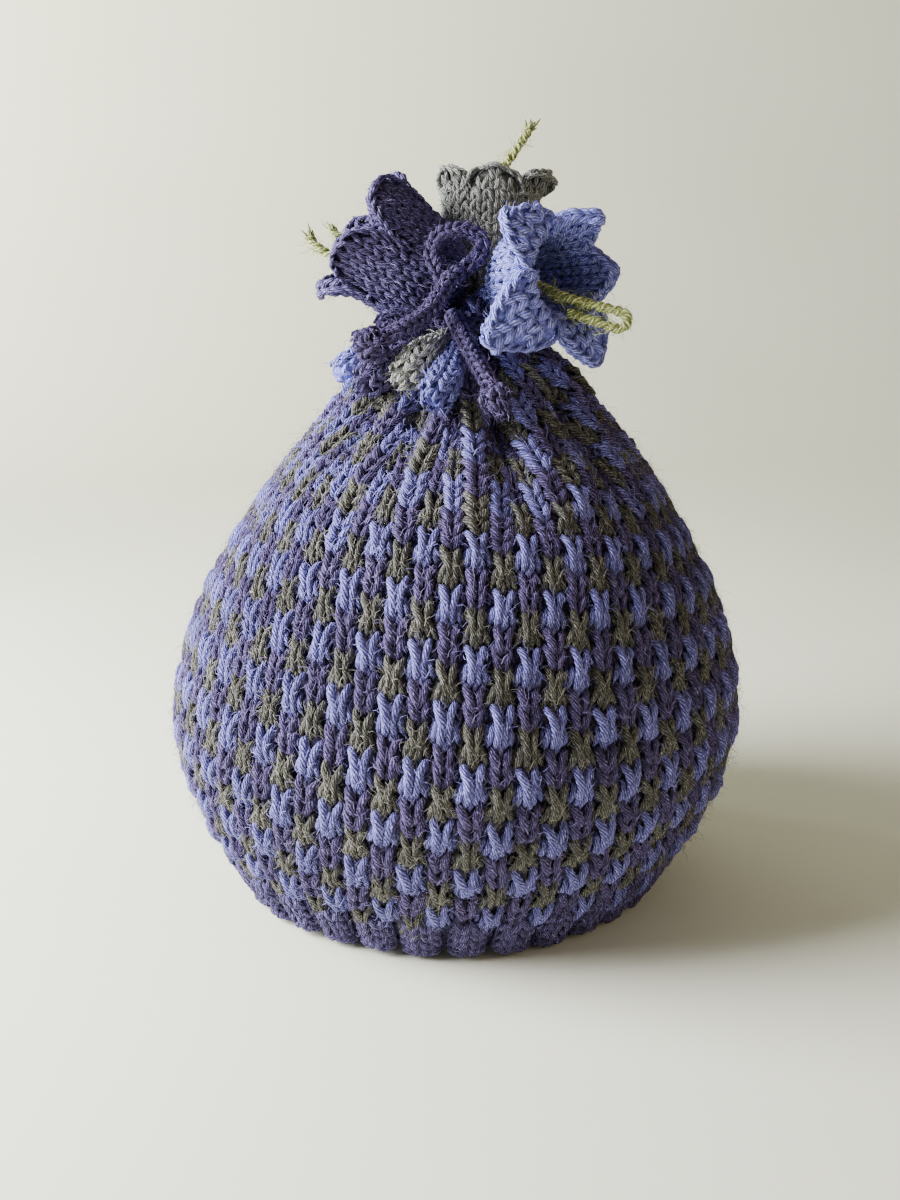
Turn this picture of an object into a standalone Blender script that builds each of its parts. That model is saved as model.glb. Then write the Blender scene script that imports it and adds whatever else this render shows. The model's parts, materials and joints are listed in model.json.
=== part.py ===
"""A hand-knitted tea cosy: a ribbed cover gathered at the neck by a tied cord, with knitted flowers.

Metres, +Z up. The cosy stands on its hem at z = 0 with its front towards -Y. A teapot's spout
comes out of the slit at -X and its handle out of the slit at +X.
"""

import math

import bmesh
import bpy
from mathutils import Matrix, Vector

MM = 0.001

# ---- Knitted wall -------------------------------------------------------------------------------

RIBS = 72  # knit ribs round the body
COLUMNS = 2 * RIBS  # points round the wall: one on each rib, one in each furrow
HALF = COLUMNS // 2  # columns in the back half, and in the front half
WALL = 5.0 * MM  # from the crown of a rib to the smooth inside
RIB_DEPTH = 2.2 * MM
RIB_FULL_RADIUS = 60 * MM  # below this radius the ribs crowd together and flatten
HEM_HEIGHT = 13 * MM
HEM_RIB_DEPTH = 3.0 * MM  # coarse rib: two columns out, two columns in
BLEND_HEIGHT = 10 * MM  # over which the hem's rib turns into the body's
LEAN = 0.035  # the wall's axis moves this far towards +X for each metre of height
AXIS_HEIGHT = 62 * MM  # where the leaning axis crosses x = 0

# Outline of the wall over its ribs, from the hem to the frill above the neck
PROFILE = (
    # height, radius (mm)
    (0, 65.5),
    (13, 73.5),
    (33, 84.0),
    (57, 89.3),
    (85, 84.0),
    (110, 72.5),
    (135, 55.5),
    (152, 41.0),
    (163, 32.5),
    (170, 22.6),
    (175.5, 15.2),
    (182, 14.4),
)
OUTER_HEIGHTS = (0, 6.5, 13, 23, 33, 45, 57, 69, 81, 93, 105, 117, 128, 138, 147, 155, 162, 168, 173, 177.5, 182)
INNER_HEIGHTS = (0, 13, 33, 45, 57, 69, 81, 93, 105, 117, 132, 147, 160)
FRILL_DIP = 0.6 * MM  # how far the closed top lies under the frill's edge
INNER_TOP = 164 * MM  # where the inside closes, under the neck

# Hollows between the gathers, which run down from the neck
HOLLOWS = (
    # angle (degrees), depth (mm), reach below the neck (mm)
    (12, 6.0, 34),
    (40, 7.0, 30),
    (68, 6.0, 36),
    (97, 7.5, 32),
    (127, 6.0, 28),
    (156, 7.0, 36),
    (190, 6.5, 30),
    (224, 6.5, 34),
    (247, 6.0, 28),
    (264, 4.5, 22),
    (284, 9.0, 40),
    (318, 7.0, 44),
    (343, 5.5, 30),
)
HOLLOW_HALF_WIDTH = 13  # degrees
HOLLOW_TOP = 158 * MM  # above this height a hollow keeps its depth, in step with the radius

# Slits, each parting the wall along one furrow
SLITS = (
    # column, bottom, top, width (mm)
    (0, 33, 105, 18),  # handle
    (HALF, 33, 93, 24),  # spout
)
SLIT_SPREAD = 9  # columns over which the ribs beside a slit are pushed aside
LIP_RISE = 1.5 * MM  # how far a slit's lips stand out

# ---- Tie ----------------------------------------------------------------------------------------

CORD_RADIUS = 2.2 * MM
CORD_STEP = 3 * MM  # between the points of a cord
NECK_CORD_HEIGHT = 178.2 * MM
NECK_CORD_RADIUS = 17.9 * MM

# Routes of the cord: x, y, z (mm)
BOW_LOOP = (
    (-6.0, -18.2, 180.9),
    (-5.6, -20.4, 185.2),
    (-3.6, -21.6, 189.6),
    (-5.4, -21.4, 194.0),
    (-7.0, -20.8, 198.6),
    (-4.2, -20.0, 203.2),
    (2.4, -19.4, 204.4),
    (7.2, -20.0, 201.4),
    (5.6, -22.2, 196.6),
    (1.6, -24.9, 193.6),
)
TAIL_LEFT = (
    (1.2, -25.15, 193.4),
    (-1.6, -26.6, 191.2),
    (-4.0, -27.4, 187.9),
    (-7.4, -29.6, 183.1),
    (-12.8, -32.4, 179.2),
    (-17.6, -33.4, 176.8),
    (-20.8, -33.8, 175.2),
)
TAIL_RIGHT = (
    (-1.2, -20.8, 181.2),
    (-0.2, -24.4, 179.2),
    (2.4, -30.4, 174.6),
    (5.6, -36.2, 169.0),
    (8.4, -40.6, 164.4),
    (9.6, -42.6, 162.2),
)

# ---- Knots and buds: x, y, z and radius (mm) ----------------------------------------------------

KNOT_LEFT = (
    (-21.4, -33.8, 174.9, 2.6),
    (-22.4, -33.8, 174.4, 4.3),
    (-24.6, -33.6, 173.2, 4.7),
    (-26.6, -33.4, 172.2, 4.0),
    (-28.0, -33.2, 171.6, 1.6),
)
KNOT_RIGHT = (
    (9.9, -43.1, 161.6, 2.4),
    (10.4, -44.0, 160.6, 3.9),
    (11.0, -45.0, 159.4, 3.9),
    (11.8, -46.2, 158.0, 2.3),
    (12.4, -47.2, 156.8, 2.9),
    (13.0, -48.0, 155.8, 1.2),
)
BUD_GREY = (
    (-3.0, -18.3, 174.9, 1.6),
    (-6.0, -24.0, 173.2, 2.8),
    (-9.4, -28.6, 170.4, 4.8),
    (-12.4, -32.2, 167.0, 5.4),
    (-15.0, -34.6, 164.6, 4.4),
    (-16.4, -35.8, 163.2, 1.8),
)
BUD_PERIWINKLE = (
    (1.8, -19.3, 174.9, 1.4),
    (0.2, -25.4, 171.6, 2.4),
    (-1.6, -31.2, 167.9, 4.0),
    (-3.6, -38.2, 163.6, 5.2),
    (-5.8, -42.6, 160.6, 5.0),
    (-7.2, -45.0, 158.8, 2.0),
)
BUD_BLUE = (
    (-13.3, -9.9, 174.8, 1.6),
    (-19.6, -13.4, 172.4, 2.6),
    (-24.6, -16.0, 170.0, 3.8),
    (-28.8, -18.4, 167.5, 4.6),
    (-32.6, -20.8, 164.8, 4.6),
    (-34.8, -22.2, 163.3, 2.0),
)
BUD_VIOLET = (
    (-8.6, -14.9, 174.9, 1.6),
    (-13.4, -19.2, 172.0, 3.0),
    (-17.8, -22.6, 169.2, 4.5),
    (-21.4, -25.4, 166.2, 5.0),
    (-25.2, -28.2, 163.0, 5.2),
    (-27.6, -29.8, 161.0, 2.4),
)
BUD_SMALL = (
    (-11.6, -13.2, 180.8, 1.6),
    (-16.0, -17.6, 179.8, 2.3),
    (-19.2, -20.4, 178.9, 2.9),
    (-21.4, -22.4, 178.5, 2.7),
    (-22.8, -23.6, 178.3, 1.2),
)

# ---- Flowers ------------------------------------------------------------------------------------

FLOWER_THICKNESS = 2.2 * MM
BASE_SLOPE, SIDE_SLOPE = 88, 2  # degrees from the bell's axis
ROLL_BELOW, ROLL_ABOVE = 4 * MM, 6 * MM  # a petal turns outwards between these, about the notches
PETAL_COLUMNS = 6
CUP_STOPS = (0.16, 0.38, 0.66, 1)  # rows of points up the bell, as shares of the way to the roll
PETAL_ROWS = 6

# Each flower: middle of its bottom (mm), the way its bell opens, the way its first petal points,
# the length over which its bottom rounds up into its side and the length up to the notches (mm),
# and each petal as length past the notches (mm) and how far it turns outwards (degrees)
FLOWERS = {
    "flower_left": (
        (-3.6, -0.4, 187.5), (-0.82, -0.10, 0.56), (0.42, -0.60, 0.60), 25, 30,
        ((11, 40), (9, 8), (14, 14), (11, 20), (8, 0)),
    ),
    "flower_back": (
        (8.8, 8.8, 182.4), (0.05, 0.28, 0.96), (0.05, -1.0, 0.0), 21, 41,
        ((5, 4), (7, 52), (7, 28), (7, 30), (6, 14)),
    ),
    "flower_right": (
        (13.2, -9.2, 190.0), (0.68, -0.72, 0.11), (0.255, 0.226, 0.94), 21, 32,
        ((8, 40), (11, 114), (16, 124), (11, 104), (5, 8)),
    ),
}

# ---- Stamens: plied yarn ------------------------------------------------------------------------

YARN_RADIUS = 0.95 * MM
STAMENS = {
    "stamen_left_a": (
        (-6.3, -2.6, 189.2), (-17.4, -3.4, 195.8), (-28.8, -3.2, 198.4),
        (-36.3, -2.6, 197.2), (-41.4, -1.6, 199.6), (-45.0, -0.6, 204.0),
    ),
    "stamen_left_b": (
        (-6.3, 0.9, 189.4), (-17.4, 1.4, 197.6), (-28.8, 2.2, 201.2), (-34.0, 2.4, 201.8), (-38.0, 2.6, 205.4),
    ),
    "stamen_back": (
        (9.0, 9.6, 185.2), (9.6, 13.0, 204.0), (12.4, 15.4, 219.0), (18.2, 15.0, 228.0), (24.0, 15.0, 236.0),
    ),
    "stamen_right": (
        (15.1, -11.2, 190.4), (21.6, -19.4, 190.0), (29.0, -28.6, 186.8), (38.0, -33.4, 184.4),
        (46.0, -36.4, 182.4), (47.2, -37.6, 179.8), (44.6, -37.6, 178.2), (38.0, -35.4, 180.2), (31.0, -32.4, 182.4),
    ),
}

# ---- Yarn colours (linear) ----------------------------------------------------------------------

PERIWINKLE = (0.20, 0.22, 0.58)
VIOLET = (0.075, 0.060, 0.200)
WALL_MIX = (0.120, 0.115, 0.290)
GREY = (0.25, 0.26, 0.23)
GREEN = (0.27, 0.31, 0.06)


def yarn(name, colour):
    """A matt wool material in one colour."""
    material = bpy.data.materials.new(name)
    material.use_nodes = True
    shader = material.node_tree.nodes["Principled BSDF"]
    shader.inputs["Base Color"].default_value = (*colour, 1)
    shader.inputs["Roughness"].default_value = 0.9
    shader.inputs["Metallic"].default_value = 0.0
    return material


def through(table, at):
    """The value at one place on a smooth curve through rows of (place, value)."""
    last = len(table) - 2
    row = min(max(sum(1 for place, _ in table if place <= at) - 1, 0), last)

    def slope(i):
        low, high = max(i - 1, 0), min(i + 1, last + 1)
        return (table[high][1] - table[low][1]) / (table[high][0] - table[low][0])

    (start, first), (end, second) = table[row], table[row + 1]
    span = end - start
    t = (at - start) / span
    bend_in, bend_out = slope(row) * span, slope(row + 1) * span
    return (
        first * (1 + 2 * t) * (1 - t) ** 2
        + bend_in * t * (1 - t) ** 2
        + second * t * t * (3 - 2 * t)
        - bend_out * t * t * (1 - t)
    )


def add_part(name, data, material, parent):
    """One sub-part from a mesh or a curve, with its own material."""
    part = bpy.data.objects.new(name, data)
    data.materials.append(material)
    parent.users_collection[0].objects.link(part)
    part.parent = parent
    return part


# ---- The wall -----------------------------------------------------------------------------------


def profile_radius(height):
    return through(PROFILE, height / MM) * MM


def hollow_depth(angle, height):
    """How far the gathers pull the wall in."""
    depth = 0.0
    for centre, deepest, reach in HOLLOWS:
        off = abs((math.degrees(angle) - centre + 180) % 360 - 180) / HOLLOW_HALF_WIDTH
        down = max(HOLLOW_TOP - height, 0) / (reach * MM)
        if off < 1 and down < 1:
            depth += deepest * MM * (1 - off * off) ** 2 * (1 - down) ** 1.3
    return depth * min(1, profile_radius(height) / profile_radius(HOLLOW_TOP))


def rib_depth(column, height):
    """How far a column of points lies under the ribs' crowns."""
    hem = HEM_RIB_DEPTH if column % 4 in (0, 3) else 0
    body = RIB_DEPTH if column % 2 == 0 else 0
    body *= min(1, profile_radius(height) / RIB_FULL_RADIUS)
    share = min(max((height - HEM_HEIGHT) / BLEND_HEIGHT, 0), 1)
    return hem + (body - hem) * share


def slit_push(column, half, height):
    """How far the slits push a column round the wall (an arc length), and how near it is to one (0 to 1)."""
    push, nearness = 0.0, 0.0
    for slit, bottom, top, width in SLITS:
        steps = (column - slit + HALF) % COLUMNS - HALF
        up = (height / MM - bottom) / (top - bottom)
        if abs(steps) >= SLIT_SPREAD or not 0 < up < 1:
            continue
        side = math.copysign(1, steps) if steps else (1 if half == slit // HALF else -1)
        open_here = math.sin(math.pi * up) ** 0.6
        nearness = open_here * (1 - abs(steps) / SLIT_SPREAD) ** 2
        push = side * nearness * width * MM / 2
    return push, nearness


def in_slit(column, height):
    return any(
        column % COLUMNS == slit and bottom < height / MM < top for slit, bottom, top, _ in SLITS
    )


def wall_point(column, half, height, inside):
    """One point of the wall's ribbed outside or smooth inside."""
    push, nearness = slit_push(column, half, height)
    radius = profile_radius(height) + LIP_RISE * nearness
    angle = math.tau * column / COLUMNS + push / radius
    radius -= hollow_depth(angle, height)
    radius -= WALL if inside else rib_depth(column, height)
    axis = LEAN * (height - AXIS_HEIGHT)
    return Vector((axis + radius * math.cos(angle), radius * math.sin(angle), height))


def wall_grid(bm, heights, inside):
    """{(half, column, height): point}. The halves share the columns where they meet, but not in a slit."""
    shared, grid = {}, {}
    for height in heights:
        for half in (0, 1):
            for column in range(half * HALF, (half + 1) * HALF + 1):
                own_half = half if in_slit(column, height * MM) else None
                key = (own_half, column % COLUMNS, height)
                if key not in shared:
                    shared[key] = bm.verts.new(wall_point(column, half, height * MM, inside))
                grid[half, column, height] = shared[key]
    return grid


def skin_faces(bm, grid, heights):
    for half in (0, 1):
        for column in range(half * HALF, (half + 1) * HALF):
            for low, high in zip(heights, heights[1:]):
                bm.faces.new((
                    grid[half, column, low], grid[half, column + 1, low],
                    grid[half, column + 1, high], grid[half, column, high],
                ))


def close_top(bm, grid, height, centre):
    """A fan of faces from a ring of points to one point on the axis."""
    pole = bm.verts.new(centre)
    for half in (0, 1):
        for column in range(half * HALF, (half + 1) * HALF):
            bm.faces.new((grid[half, column, height], grid[half, column + 1, height], pole))


def axis_point(height):
    return (LEAN * (height - AXIS_HEIGHT), 0, height)


def make_wall(parent):
    """The cover: ribbed outside and smooth inside, joined under the hem and round both slits."""
    bm = bmesh.new()
    outer = wall_grid(bm, OUTER_HEIGHTS, inside=False)
    inner = wall_grid(bm, INNER_HEIGHTS, inside=True)
    skin_faces(bm, outer, OUTER_HEIGHTS)
    skin_faces(bm, inner, INNER_HEIGHTS)
    close_top(bm, outer, OUTER_HEIGHTS[-1], axis_point(OUTER_HEIGHTS[-1] * MM - FRILL_DIP))
    close_top(bm, inner, INNER_HEIGHTS[-1], axis_point(INNER_TOP))

    hem = OUTER_HEIGHTS[0]
    for half in (0, 1):
        for column in range(half * HALF, (half + 1) * HALF):
            bm.faces.new((
                inner[half, column, hem], inner[half, column + 1, hem],
                outer[half, column + 1, hem], outer[half, column, hem],
            ))
    for slit, bottom, top, _ in SLITS:
        edge = [height for height in INNER_HEIGHTS if bottom <= height <= top]
        for half in (0, 1):
            column = slit if half == 0 or slit else COLUMNS
            for low, high in zip(edge, edge[1:]):
                bm.faces.new((
                    outer[half, column, low], outer[half, column, high],
                    inner[half, column, high], inner[half, column, low],
                ))
    bmesh.ops.recalc_face_normals(bm, faces=bm.faces)
    mesh = bpy.data.meshes.new("cosy_wall")
    bm.to_mesh(mesh)
    bm.free()
    return add_part("cosy_wall", mesh, yarn("wall_yarn", WALL_MIX), parent)


# ---- Cords, knots, buds and yarn ----------------------------------------------------------------


def smooth_route(route, step):
    """Points about one step apart on a smooth curve through the rows of a route."""
    rows = [Vector(row) for row in route]
    rows = [2 * rows[0] - rows[1], *rows, 2 * rows[-1] - rows[-2]]
    points = []
    for before, start, end, after in zip(rows, rows[1:], rows[2:], rows[3:]):
        count = max(1, round((end - start).length / step))
        for i in range(count):
            t = i / count
            points.append(0.5 * (
                2 * start + (end - before) * t
                + (2 * before - 5 * start + 4 * end - after) * t ** 2
                + (3 * start - before - 3 * end + after) * t ** 3
            ))
    return points + [rows[-2]]


def add_tube(name, points, radii, material, parent, closed=False):
    """A round tube along points, with a radius at each."""
    curve = bpy.data.curves.new(name, "CURVE")
    curve.dimensions = "3D"
    curve.bevel_depth = max(radii)
    curve.bevel_resolution = 2
    curve.use_fill_caps = not closed
    spline = curve.splines.new("POLY")
    spline.points.add(len(points) - 1)
    for spot, point, radius in zip(spline.points, points, radii):
        spot.co = (*point, 1)
        spot.radius = radius / curve.bevel_depth
    spline.use_cyclic_u = closed
    spline.use_smooth = True
    return add_part(name, curve, material, parent)


def add_cord(name, route, radius, material, parent):
    points = [point * MM for point in smooth_route(route, CORD_STEP / MM)]
    return add_tube(name, points, [radius] * len(points), material, parent)


def add_swelling(name, route, material, parent):
    """A closed knitted bud or a knot: a tube whose radius follows its route's last column."""
    rows = smooth_route(route, CORD_STEP / MM)
    points = [row.to_3d() * MM for row in rows]
    return add_tube(name, points, [row[3] * MM for row in rows], material, parent)


def add_neck_cord(material, parent):
    """The cord round the neck, which rises and falls a little with the gathers."""
    count = 40
    points = []
    for i in range(count):
        angle = math.tau * i / count
        height = NECK_CORD_HEIGHT + 0.5 * MM * math.sin(5 * angle)
        points.append(Vector(axis_point(height)) + NECK_CORD_RADIUS * Vector((math.cos(angle), math.sin(angle), 0)))
    return add_tube("neck_cord", points, [CORD_RADIUS] * count, material, parent, closed=True)


# ---- Flowers ------------------------------------------------------------------------------------


def cup_slope(arc, belly, cup, turn):
    """The angle between the bell's side and its axis, an arc length away from its bottom's middle."""
    if arc < belly:
        return BASE_SLOPE + (SIDE_SLOPE - BASE_SLOPE) * arc / belly
    t = min(max((arc - cup + ROLL_BELOW) / (ROLL_BELOW + ROLL_ABOVE), 0), 1)
    return SIDE_SLOPE + turn * t * t * (3 - 2 * t)


def cup_section(stops, belly, cup, turn):
    """(radius, depth) at each stop along one section of the bell, summed in small steps."""
    step = 0.25 * MM
    radius = depth = arc = 0.0
    places = []
    for stop in stops:
        while arc < stop:
            slope = math.radians(cup_slope(arc, belly, cup, turn))
            radius += step * math.sin(slope)
            depth += step * math.cos(slope)
            arc += step
        places.append((radius, depth))
    return places


def petal_at(petals, column):
    """Length past the notches and outward turn at a column of points, blended between two petals."""
    nearest = round(column / PETAL_COLUMNS)
    off = 2 * (column / PETAL_COLUMNS - nearest)
    length, turn = petals[nearest % len(petals)]
    beside = petals[(nearest + (1 if off > 0 else -1)) % len(petals)][1]
    share = off * off / 2
    return length * MM * (1 - abs(off) ** 2.4), turn * (1 - share) + beside * share


def add_flower(name, shape, material, parent):
    """A knitted bell: an open cup whose side parts into pointed petals, given its thickness by Solidify."""
    centre, opens, first, belly, side, petals = shape
    bm = bmesh.new()
    cup, count = side * MM, len(petals) * PETAL_COLUMNS
    roll = cup - ROLL_BELOW
    pole = bm.verts.new((0, 0, 0))
    rings = []
    for column in range(count):
        length, turn = petal_at(petals, column)
        stops = [roll * share for share in CUP_STOPS]
        stops += [roll + (ROLL_BELOW + length) * (row + 1) / PETAL_ROWS for row in range(PETAL_ROWS)]
        angle = math.tau * column / count
        rings.append([
            bm.verts.new((radius * math.cos(angle), radius * math.sin(angle), depth))
            for radius, depth in cup_section(stops, belly * MM, cup, turn)
        ])
    for column, ring in enumerate(rings):
        following = rings[(column + 1) % count]
        bm.faces.new((pole, following[0], ring[0]))
        for row in range(len(ring) - 1):
            bm.faces.new((ring[row], following[row], following[row + 1], ring[row + 1]))
    mesh = bpy.data.meshes.new(name)
    bm.to_mesh(mesh)
    bm.free()
    mesh.shade_smooth()

    flower = add_part(name, mesh, material, parent)
    along = Vector(opens).normalized()
    across = (Vector(first) - along * along.dot(Vector(first))).normalized()
    flower.matrix_local = Matrix.Translation(Vector(centre) * MM) @ Matrix(
        (across, along.cross(across), along)
    ).transposed().to_4x4()
    shell = flower.modifiers.new("knit", "SOLIDIFY")
    shell.thickness = FLOWER_THICKNESS
    shell.offset = -1
    return flower


def build():
    for old in list(bpy.data.objects):
        bpy.data.objects.remove(old)
    parts = bpy.data.collections.new("tea_cosy")
    bpy.context.scene.collection.children.link(parts)
    cosy = bpy.data.objects.new("tea_cosy", None)
    parts.objects.link(cosy)

    violet = yarn("violet_yarn", VIOLET)
    periwinkle = yarn("periwinkle_yarn", PERIWINKLE)
    grey = yarn("grey_yarn", GREY)
    green = yarn("green_yarn", GREEN)

    make_wall(cosy)
    add_neck_cord(violet, cosy)
    add_cord("bow_loop", BOW_LOOP, CORD_RADIUS, violet, cosy)
    add_cord("tail_left", TAIL_LEFT, CORD_RADIUS, violet, cosy)
    add_cord("tail_right", TAIL_RIGHT, CORD_RADIUS, violet, cosy)
    add_swelling("knot_left", KNOT_LEFT, violet, cosy)
    add_swelling("knot_right", KNOT_RIGHT, violet, cosy)
    add_swelling("bud_grey", BUD_GREY, grey, cosy)
    add_swelling("bud_periwinkle", BUD_PERIWINKLE, periwinkle, cosy)
    add_swelling("bud_blue", BUD_BLUE, periwinkle, cosy)
    add_swelling("bud_violet", BUD_VIOLET, violet, cosy)
    add_swelling("bud_small", BUD_SMALL, violet, cosy)
    flower_yarns = {"flower_left": violet, "flower_back": grey, "flower_right": periwinkle}
    for name, shape in FLOWERS.items():
        add_flower(name, shape, flower_yarns[name], cosy)
    for name, route in STAMENS.items():
        add_cord(name, route, YARN_RADIUS, green, cosy)


build()
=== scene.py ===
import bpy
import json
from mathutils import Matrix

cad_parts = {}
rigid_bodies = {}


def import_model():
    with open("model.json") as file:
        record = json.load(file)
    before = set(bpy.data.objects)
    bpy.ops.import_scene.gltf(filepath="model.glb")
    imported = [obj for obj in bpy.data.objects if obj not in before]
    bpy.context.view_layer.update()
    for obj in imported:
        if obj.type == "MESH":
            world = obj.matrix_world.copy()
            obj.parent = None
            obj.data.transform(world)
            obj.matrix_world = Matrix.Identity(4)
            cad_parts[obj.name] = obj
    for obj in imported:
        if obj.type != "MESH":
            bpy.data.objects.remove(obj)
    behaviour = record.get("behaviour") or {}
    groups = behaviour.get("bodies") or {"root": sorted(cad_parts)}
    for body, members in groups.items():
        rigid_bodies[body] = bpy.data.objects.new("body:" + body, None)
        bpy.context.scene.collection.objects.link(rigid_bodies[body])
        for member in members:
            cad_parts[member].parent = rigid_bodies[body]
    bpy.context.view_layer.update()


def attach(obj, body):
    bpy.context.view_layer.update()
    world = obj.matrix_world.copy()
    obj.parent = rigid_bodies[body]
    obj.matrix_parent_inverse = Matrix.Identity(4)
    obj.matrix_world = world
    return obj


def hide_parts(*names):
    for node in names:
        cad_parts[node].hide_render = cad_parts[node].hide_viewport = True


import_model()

import json
import math
import random
from bisect import bisect_left
from itertools import accumulate

import bmesh
import bpy
from mathutils import Matrix, Vector

MM = 0.001

# ---- Camera -------------------------------------------------------------------------------------
# The viewpoint: straight on to the front, a little above the cosy and looking 15 degrees down,
# with a 42 mm lens on an upright frame.

lens = bpy.data.cameras.new("viewpoint")
lens.sensor_fit = "VERTICAL"
lens.sensor_height = 36
lens.lens = 42
lens.clip_start = 0.02
viewpoint = bpy.data.objects.new("viewpoint", lens)
bpy.context.scene.collection.objects.link(viewpoint)
viewpoint.location = (-0.0019, -0.432, 0.206)
viewpoint.rotation_euler = (math.radians(75), 0, 0)
bpy.context.scene.camera = viewpoint

# ---- The tie's free ends ------------------------------------------------------------------------
# Two short ends of the knitted cord that draws the neck in, each about 31 mm of limp wool tube
# worked on a few stitches, so upright rows of small V stitches run along it.


def arithmetic(operation, swapped=False):
    """The method of one operator: it adds a Math node, the other value first where swapped."""
    def method(self, *other):
        values = (*other, self) if swapped else (self, *other)
        return self.node("ShaderNodeMath", dict(enumerate(values)), operation=operation)
    return method


class Wool:
    """One socket of a node tree that takes part in plain arithmetic."""

    __add__ = __radd__ = arithmetic("ADD")
    __sub__, __rsub__ = arithmetic("SUBTRACT"), arithmetic("SUBTRACT", swapped=True)
    __mul__ = __rmul__ = arithmetic("MULTIPLY")
    __pow__, __rpow__ = arithmetic("POWER"), arithmetic("POWER", swapped=True)
    __abs__, wave = arithmetic("ABSOLUTE"), arithmetic("SINE")

    def __init__(self, tree, socket=None):
        self.tree, self.socket = tree, socket

    def node(self, kind, links, out=0, **settings):
        """Any other node: links is {input name or number: a value, or a Wool to link}."""
        node = self.tree.nodes.new(kind)
        for key, value in settings.items():
            setattr(node, key, value)
        for key, value in links.items():
            if isinstance(value, Wool):
                value.feed(node.inputs[key])
            else:
                node.inputs[key].default_value = value
        return Wool(self.tree, node.outputs[out])

    def feed(self, socket):
        self.tree.links.new(self.socket, socket)

    def ramp(self, low, high):
        """0 below low, 1 above high and smooth between."""
        return self.node("ShaderNodeMapRange", {"Value": self, "From Min": low, "From Max": high},
                         interpolation_type="SMOOTHSTEP")

    def between(self, first, second):
        """The colour this far from first to second."""
        return self.node("ShaderNodeMix", {0: self, 6: first, 7: second}, out=2, data_type="RGBA")

    def noise(self, scale, detail, roughness=0.5):
        """The noise at this place."""
        return self.node("ShaderNodeTexNoise", {
            "Vector": self, "Scale": scale, "Detail": detail, "Roughness": roughness,
        })

    def bumps(self, strength, distance, normal):
        """Feeds this height to a shader's normal."""
        bump = {"Height": self, "Strength": strength, "Distance": distance}
        self.node("ShaderNodeBump", bump).feed(normal)


def new_material(name, roughness, specular):
    """A matt material: (itself, its shader's inputs, the start of its tree)."""
    material = bpy.data.materials.new(name)
    material.use_nodes = True
    shader = material.node_tree.nodes["Principled BSDF"].inputs
    shader["Roughness"].default_value = roughness
    shader["Specular IOR Level"].default_value = specular
    return material, shader, Wool(material.node_tree)


def plied_wool(name, deep, middle, bright, twist=0.62, plies=8):
    """Matt plied wool: painted shade in the grooves between the plies, painted highlights along
    fine fibres on the plies' crowns, and an uneven dye.

    It needs a UV map of (length in mm, place round the strand from 0 to 1). deep is the colour of
    the painted shade, bright that of the painted highlights and the sheen's tint.
    """
    material, shader, start = new_material(name, 0.92, 0.22)
    length = start.node("ShaderNodeSeparateXYZ", {0: start.node("ShaderNodeUVMap", {}, uv_map="strand")})
    round_it = Wool(start.tree, length.socket.node.outputs[1])
    tone = start.node("ShaderNodeAttribute", {}, out=2, attribute_name="tone")
    place = start.node("ShaderNodeTexCoord", {}, out=3)

    bends = place.noise(330, 2, 0.6)
    turn = round_it * plies + length * twist + (bends - 0.5) * 1.3
    groove = abs((turn * math.pi).wave())
    along = length * 0.34 - round_it * 1.6
    fibres = turn.node("ShaderNodeCombineXYZ", {0: turn * 1.35, 1: along, 2: tone * 37}).noise(2.2, 3, 0.7)
    fluff = place.noise(950, 3, 0.75)
    dye = place.noise(60, 2)

    # Painted shade: the colour falls to deep in the grooves between the plies.
    shade = groove.ramp(0.3, 0.96)
    body = (shade * (fibres.ramp(0.34, 0.56) * 0.75 + 0.25)).between((*deep, 1), (*middle, 1))
    # Painted highlights: bright streaks along the fibres on the plies' crowns.
    light = fibres.ramp(0.47, 0.62) * shade.ramp(0.25, 0.8) * (fluff.ramp(0.38, 0.58) * 0.7 + 0.3)
    lit = light.between(body, (*bright, 1))
    patchy = dye.ramp(0.3, 0.7) * 0.26 + tone * 0.3 + fluff.ramp(0.25, 0.75) * 0.7 + bends * 0.3 + 0.34
    lit.node("ShaderNodeVectorMath", {0: lit, "Scale": patchy}, operation="SCALE").feed(shader["Base Color"])
    shader["Sheen Weight"].default_value = 0.4
    shader["Sheen Roughness"].default_value = 0.45
    shader["Sheen Tint"].default_value = (*bright, 1)
    height = groove ** 0.8 * 0.3 + fibres * 0.26 + fluff * 0.24
    height.bumps(1.0, 0.002, shader["Normal"])
    return material


def clamp(share):
    return min(max(share, 0), 1)


def distances(points):
    """How far each point lies along the line through them all."""
    return [0.0, *accumulate((b - a).length for a, b in zip(points, points[1:]))]


def smooth_route(route, step):
    """Points about one step apart on a smooth curve through the rows of a route."""
    rows = [Vector(row) for row in route]
    rows = [2 * rows[0] - rows[1], *rows, 2 * rows[-1] - rows[-2]]
    points = []
    for before, start, end, after in zip(rows, rows[1:], rows[2:], rows[3:]):
        count = max(1, round((end - start).length / step))
        for i in range(count):
            t = i / count
            points.append(0.5 * (
                2 * start + (end - before) * t
                + (2 * before - 5 * start + 4 * end - after) * t ** 2
                + (3 * start - before - 3 * end + after) * t ** 3
            ))
    return points + [rows[-2]]


def frames_along(points, first_side=(0.3, 0.2, 1)):
    """(point, along, side, out) at each point, turned as little as possible from one to the next."""
    frames, side = [], Vector(first_side)
    for i, point in enumerate(points):
        along = (points[min(i + 1, len(points) - 1)] - points[max(i - 1, 0)]).normalized()
        side = (side - along * along.dot(side)).normalized()
        frames.append((point, along, side, along.cross(side)))
    return frames


def ring_round(bm, centre, side, out, wide, high, count):
    """A ring of points round one place of a strand or a tube."""
    return [
        bm.verts.new(centre + side * (wide * math.cos(angle)) + out * (high * math.sin(angle)))
        for angle in (math.tau * k / count for k in range(count))
    ]


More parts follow.
